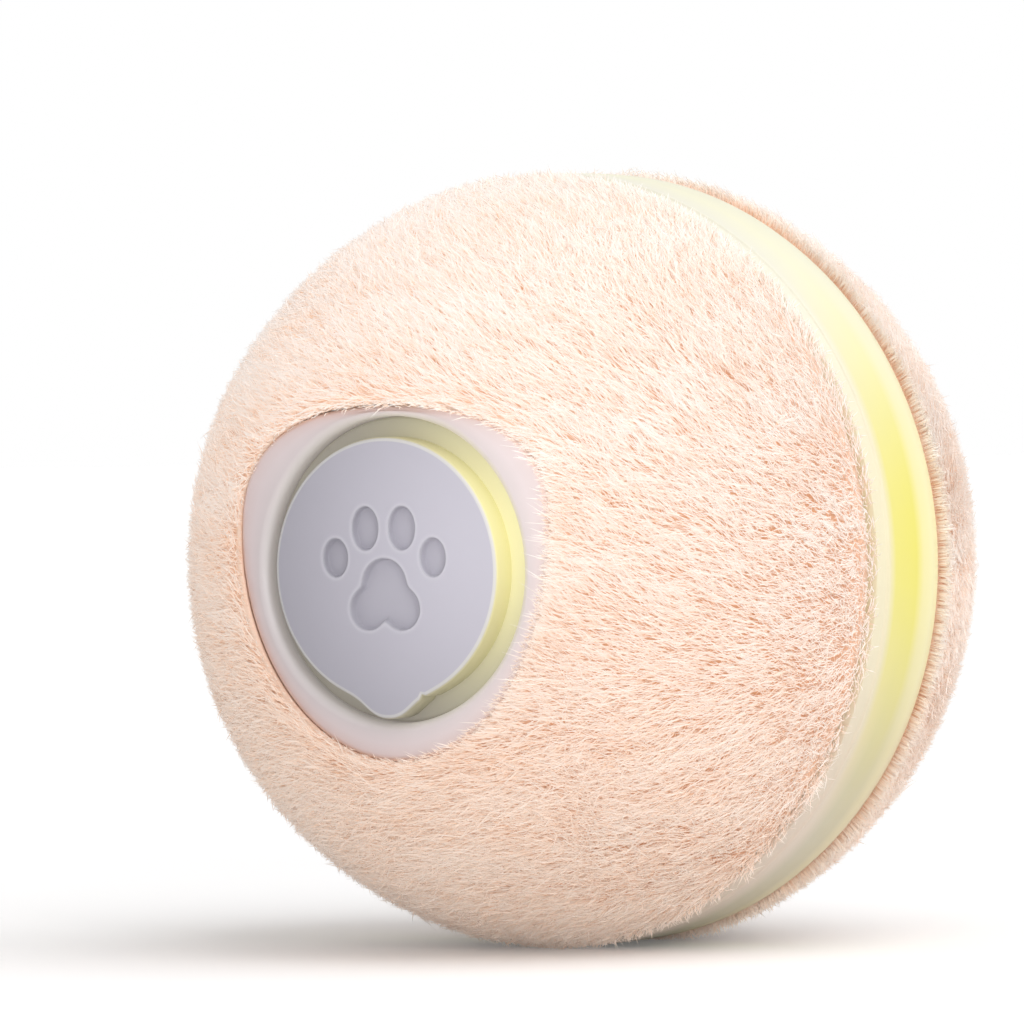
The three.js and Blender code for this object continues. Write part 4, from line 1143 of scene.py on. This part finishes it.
def swirl(places, length, seed, waves=14, shortest=0.75, longest=1.35):
    """A smooth random vector at each place: the mean of sine waves of about that length in random
    directions, each times its own random unit vector. It also gives each wave's slope along its
    direction, which draws neighbours together and apart."""
    source = np.random.default_rng(seed)
    axes = source.normal(size=(2, waves, 3))
    axes /= np.linalg.norm(axes, axis=2, keepdims=True)
    lengths = length * source.uniform(shortest, longest, waves)
    phase = places @ (axes[0] / lengths[:, None] * 2 * math.pi).T + source.uniform(0, 2 * math.pi, waves)
    scale = math.sqrt(2 / waves)
    return np.sin(phase) @ axes[1] * scale, np.cos(phase) @ axes[0] * scale


def combed(spots):
    """The way each hair lies, as a unit vector along the ball's surface: the cross product of an axis
    and the hair's own direction. The axis leans over more with height, so that in the photograph the
    hairs lie to the left, rising at the top and level below. Swirls and a random part turn them a bit,
    and beside the band and the bezel they lean over the edge of the plush."""
    place = spots * ball_radius
    tilt = comb_tilt + comb_fan * (spots @ comb_up)
    axis = -np.cos(tilt)[:, None] * comb_up - np.sin(tilt)[:, None] * comb_right
    way = np.cross(axis, spots)
    way += slow_swirl * swirl(place, slow_size, slow_seed)[0]
    way += quick_swirl * swirl(place, quick_size, quick_seed)[0]
    way += random.normal(0, wildness, way.shape)
    to_band = lean_to_band * np.exp(-(np.abs(place[:, 1]) - pile_edge) / lean_reach)
    way[:, 1] -= np.sign(place[:, 1]) * to_band
    from_egg = np.maximum(outside_egg(place[:, 0], place[:, 2]), 0)
    to_egg = lean_to_egg * np.exp(-from_egg / lean_reach) * (place[:, 1] < 0)
    inward = np.stack([-place[:, 0], 0 * to_egg, bezel_widest - place[:, 2]], axis=1)
    way += to_egg[:, None] * inward / np.linalg.norm(inward, axis=1, keepdims=True)
    way -= np.einsum("ij,ij->i", way, spots)[:, None] * spots
    return way / np.linalg.norm(way, axis=1, keepdims=True)


flow = combed(roots)
print("mean way of the hairs:", np.round(flow.mean(axis=0), 2))

# %% [markdown]
# ### How long and how high
# Hairs differ in length, and a few strays stand out. At the band and at the bezel the plush is cut, so
# a hair that runs towards such an edge ends soon after it, and those beside it start higher, which keeps
# their dark roots from showing as a line. The drive half has been brushed less, so its pile stands a
# little higher.

# %% How long and how high
root_radius = ball_radius - 0.85
hair_length = 1.5
length_spread = 0.2
hair_rise = 0.86
rise_spread = 0.14
stray_share = 0.025
stray_longer = 1.5
stray_higher = 0.2
stray_overhang = 1.2
least_length = 0.4
drive_longer = 1.15
drive_higher = 0.32
over_egg = -0.05
over_band = 0.02
probe = 0.5
edge_lift = 0.3
edge_reach = 0.7
edge_shortening = 0.5
egg_lowering = 0.2
edge_settling = 0.6
stray_zone = 3
least_rate = 1e-3
no_egg = 99.0


def room_ahead(distance, distance_ahead, over):
    """How long a hair may be before it reaches over an edge: its distance from the edge, plus what it
    may overhang, over the rate at which the edge comes nearer along the hair."""
    rate = np.maximum((distance - distance_ahead) / probe, least_rate)
    return (distance + over) / rate


place = roots * ball_radius
ahead = place + probe * flow
on_port_half = place[:, 1] < 0
from_egg, egg_ahead = (
    np.where(on_port_half, outside_egg(spot[:, 0], spot[:, 2]), no_egg) for spot in (place, ahead)
)
from_band = np.abs(place[:, 1]) - pile_edge
band_ahead = np.abs(ahead[:, 1]) - pile_edge
stray = random.random(len(roots)) < stray_share
free_length = hair_length * np.exp(random.normal(0, length_spread, len(roots)))
free_length *= np.where(stray, stray_longer, 1.0) * np.where(on_port_half, 1.0, drive_longer)
room_to_egg = room_ahead(from_egg, egg_ahead, over_egg)
room_to_egg += np.where(stray & (from_egg < stray_zone), stray_overhang, 0.0)
room_to_band = room_ahead(from_band, band_ahead, over_band)
lengths = np.minimum(free_length, np.maximum(np.minimum(room_to_egg, room_to_band), least_length))
at_egg = np.exp(-np.maximum(from_egg, 0) / edge_reach)
at_edge = np.maximum(np.exp(-from_band / edge_reach), at_egg)
lengths *= 1 - edge_shortening * at_edge
start_radius = root_radius + edge_lift * at_edge
rises = hair_rise * np.exp(random.normal(0, rise_spread, len(roots)))
rises += np.where(stray, stray_higher, 0.0) + np.where(on_port_half, 0.0, drive_higher)
rises -= edge_settling * edge_lift * at_edge + egg_lowering * at_egg
print("mean length", round(float(lengths.mean()), 2), "mean rise", round(float(rises.mean()), 2))

# %% [markdown]
# ### Hairs as bent spikes
# A hair leaves its root steeply and bends over to lie along the ball. Two straight pieces are enough for
# that at this size. One flat side faces out, because a sharp upper edge would show two dark flanks.

# %% Hairs as bent spikes
middle_share = 0.45
hair_thickness = 0.036
tuft_size, tuft_seed = 0.8, 6
tuft_pull = 0.07
curl = 0.15
floor_gap = 0.02
lowest_point = floor_gap - tread_radius
floor_squash = 0.02
corner_turns = np.radians([30, 150, 270])
roll_spread = math.radians(20)


def hair_points(chosen):
    """Five points of each chosen hair. At a share s of its length the hair has gone s times its length
    along the great circle of its flow, has risen by 1-(1-s)^2 of its rise, and has been drawn sideways
    by s^2 times its curl and the pull of its tuft. The root, three corners and the tip follow it. What
    would reach into the floor is pressed nearly flat just above it."""
    up, way = roots[chosen], flow[chosen]
    side = np.cross(up, way)
    pull = tuft_pull * swirl(up * ball_radius, tuft_size, tuft_seed)[1]
    pull += curl * random.normal(0, 1, up.shape)
    pull -= np.einsum("ij,ij->i", pull, up)[:, None] * up
    roll = random.normal(0, roll_spread, (len(up), 1))
    points = []
    for s in (0.0, middle_share, 1.0):
        angle = (s * lengths[chosen] / ball_radius)[:, None]
        normal = up * np.cos(angle) + way * np.sin(angle)
        radius = start_radius[chosen] + rises[chosen] * (1 - (1 - s) ** 2)
        centre = normal * radius[:, None] + pull * s**2
        if s != middle_share:
            points.append(centre)
            continue
        for turn in corner_turns:
            out = side * np.cos(turn + roll) + normal * np.sin(turn + roll)
            points.append(centre + hair_thickness * out)
    points = np.stack(points, axis=1)
    above = points[..., 2] - lowest_point
    points[..., 2] = lowest_point + np.where(above < 0, floor_squash * above, above)
    return points


hair_size = 5
corner = np.array([1, 2, 3])
hair_faces = np.vstack([fan(corner, 0), fan(corner, hair_size - 1)[:, ::-1]])
print("triangles in a hair:", len(hair_faces))

# %% [markdown]
# ## The pile's colour
# A single hair is orange-brown at its root, peach along its length and nearly white at its tip, and no two
# have quite the same tone; the dark roots are partly painted shade, since the pile throws no shadow into
# itself. The mesh holds two numbers for this: how far along the hair a point is, and the hair's own tone
# together with that of its tuft. The material mixes them, and paints the pile warmer and darker towards
# the lower left, as painted shade.

# %% Pile material
pile_places = (0.0, 0.2, 0.45, 0.75, 1.0)
pile_tones = ((214, 148, 104), (243, 207, 176), (254, 236, 222), (255, 246, 239), (255, 251, 248))
middle_tone = 0.5
tone_shift = 0.5
# The tint and the reach of the painted shade on the lower left of the pile.
warm_tint = (1.0, 0.93, 0.87, 1.0)
tint_low, tint_high = -14 * MM, 6 * MM
warm_up, warm_right = 0.88, 0.47
warm_way = tuple(warm_up * comb_up + warm_right * comb_right)
pile_cloud = 0.5
pile_roughness = (0.6, 0.8)


def pile_finish():
    """Colour from root to tip, shifted by the tone of the hair and its tuft, with a soft sheen. The colour
    is painted a little warmer and darker towards the lower left, away from the light, as painted shade."""
    material, tree, shader = new_material("plush pile")
    shift = calculated(tree, "SUBTRACT", attribute(tree, "tone"), middle_tone)
    position = calculated(tree, "MULTIPLY_ADD", shift, tone_shift, attribute(tree, "along"))
    root_to_tip = ramp(tree, position, *zip(pile_places, (srgb(*tone) for tone in pile_tones)))
    # Painted shade: full below tint_low along warm_way, none above tint_high.
    painted_shade_low = spread(tree, distance_along(tree, warm_way), 1.0, 0.0, tint_low, tint_high)
    sockets = {
        "Base Color": mixed(tree, painted_shade_low, root_to_tip, warm_tint, "MULTIPLY"),
        "Roughness": spread(tree, object_noise(tree, pile_cloud), *pile_roughness),
        "Sheen Weight": 0.3,
        "Sheen Roughness": 0.4,
        "Specular IOR Level": 0.25,
    }
    feed(tree, shader, sockets)
    return material


pile_material = pile_finish()
print("material:", pile_material.name)

# %% [markdown]
# ### The pile's pieces
# Each half ball has five pieces of pile, so that none is too large to handle. Real hairs are clear
# enough to pass light on to one another, and a plush stays bright between them. Solid spikes would not,
# so the pile throws no shadow, and the skin and the shell under it still do.

# %% Pile pieces
sectors = 5
hair_shares = np.array([0.0, middle_share, middle_share, middle_share, 1.0])
tone_spread = 0.13
stray_paler = 0.25
edge_paler = 0.32
low_paler, low_start, low_end = 0.12, 10, 20
hair_tones = middle_tone + random.normal(0, tone_spread, len(roots))
for amount, size, seed in ((0.12, 1.3, 8), (0.1, 4.5, 9)):
    hair_tones += amount * swirl(place, size, seed)[0][:, 0]
# Hairs beside the cut edges are paler, so less of the root colour, which is partly painted shade, shows
# there; strays are paler in their own colour.
hair_tones += stray_paler * stray + edge_paler * at_edge
# Painted light: the pile is paler towards the bottom of the ball, as if lit from the floor.
hair_tones += low_paler * smooth_step(-place[:, 2], low_start, low_end)
hair_tones = np.clip(hair_tones, 0, 1)
turn_shares = np.arctan2(roots[:, 2], roots[:, 0]) / (2 * math.pi) + 0.5
sector_of = np.floor(turn_shares * sectors).astype(int) % sectors


def pile_piece(name, node, chosen):
    """One piece of the pile: the points and faces of its hairs, and their numbers as marks."""
    points = hair_points(chosen).reshape(-1, 3)
    faces = (np.arange(len(chosen))[:, None, None] * hair_size + hair_faces).reshape(-1, 3)
    marks = {"along": np.tile(hair_shares, len(chosen)), "tone": np.repeat(hair_tones[chosen], hair_size)}
    piece = build_mesh(name, node, points, [faces], pile_material, smooth=False, marks=marks)
    piece.visible_shadow = False


for half, on_side in (("port", on_port_half), ("drive", ~on_port_half)):
    for sector in range(sectors):
        chosen = np.flatnonzero(on_side & (sector_of == sector))
        pile_piece(f"{half}_pile_{sector + 1}", f"{half}_side_fur", chosen)

# %% [markdown]
# ## The floor
# The floor is plain white. It takes the ball's shadow as any floor does, and a camera ray, or one that
# a shiny surface sends back, gets a little light added, so that the open floor reaches full white
# without more light falling on the ball.

# %% Floor
floor_side = 4.0
floor_white = 0.96
floor_lift = 0.1


def seen_ray(tree):
    """1 for camera, glossy and transmission rays, and 0 for the rays that carry diffuse light."""
    path = make(tree, "LightPath").outputs
    either = calculated(tree, "MAXIMUM", path["Is Camera Ray"], path["Is Glossy Ray"])
    return calculated(tree, "MAXIMUM", either, path["Is Transmission Ray"])


def floor_finish():
    """A matte white that shines a little for the rays that see it."""
    material, tree, shader = new_material("white floor")
    tree.nodes.remove(shader)
    matte = make(tree, "BsdfDiffuse", {"Color": (floor_white, floor_white, floor_white, 1)}).outputs[0]
    lift = calculated(tree, "MULTIPLY", seen_ray(tree), floor_lift)
    shine = make(tree, "Emission", {"Strength": lift}).outputs[0]
    total = make(tree, "AddShader", {0: matte, 1: shine}).outputs[0]
    feed(tree, tree.nodes["Material Output"], {"Surface": total})
    return material


bpy.ops.mesh.primitive_plane_add(size=floor_side)
floor = bpy.context.object
floor.name = "floor"
floor.data.materials.append(floor_finish())
print("floor side:", floor_side, "m")

# %% [markdown]
# ## Light
# A white world gives the even light of a photographer's tent. A wide sun from the upper right models
# the ball, a low narrow one throws the long faint shadow that the photograph shows, and a soft one from
# the front, just above the floor, fills the underside. Lamps of any size could do this, but suns light
# the whole floor alike, so it stays evenly white. The camera sees the world as pure white.

# %% World and lamps
world_light = 0.58
world_colour = (1.0, 0.985, 0.985)
suns = {"key": (50, 58, 60, 0.43), "low": (20, 22, 6, 0.07), "front": (12, 4, 30, 0.26)}


def white_world():
    """White for the rays that see it, and an even, very slightly warm light for the rest."""
    world = bpy.data.worlds.new("studio")
    world.use_nodes = True
    tree = world.node_tree
    soft = (*(world_light * channel for channel in world_colour), 1.0)
    feed(tree, tree.nodes["Background"], {"Color": mixed(tree, seen_ray(tree), soft, pure_white)})
    bpy.context.scene.world = world


def sun(name, side, height, spread_angle, level):
    """A sun that shines on the ball. Side and height are degrees from the camera's line and above the
    floor; level is the brightness that it alone gives a white surface that faces it."""
    data = bpy.data.lights.new(name, "SUN")
    data.angle = math.radians(spread_angle)
    data.energy = level * math.pi
    away = direction(photo_azimuth + math.radians(side), math.radians(height))
    add_object(name, data).matrix_world = away.to_track_quat("Z", "Y").to_matrix().to_4x4()


white_world()
for name, settings in suns.items():
    sun(name, *settings)
bpy.context.scene.view_settings.view_transform = "Standard"
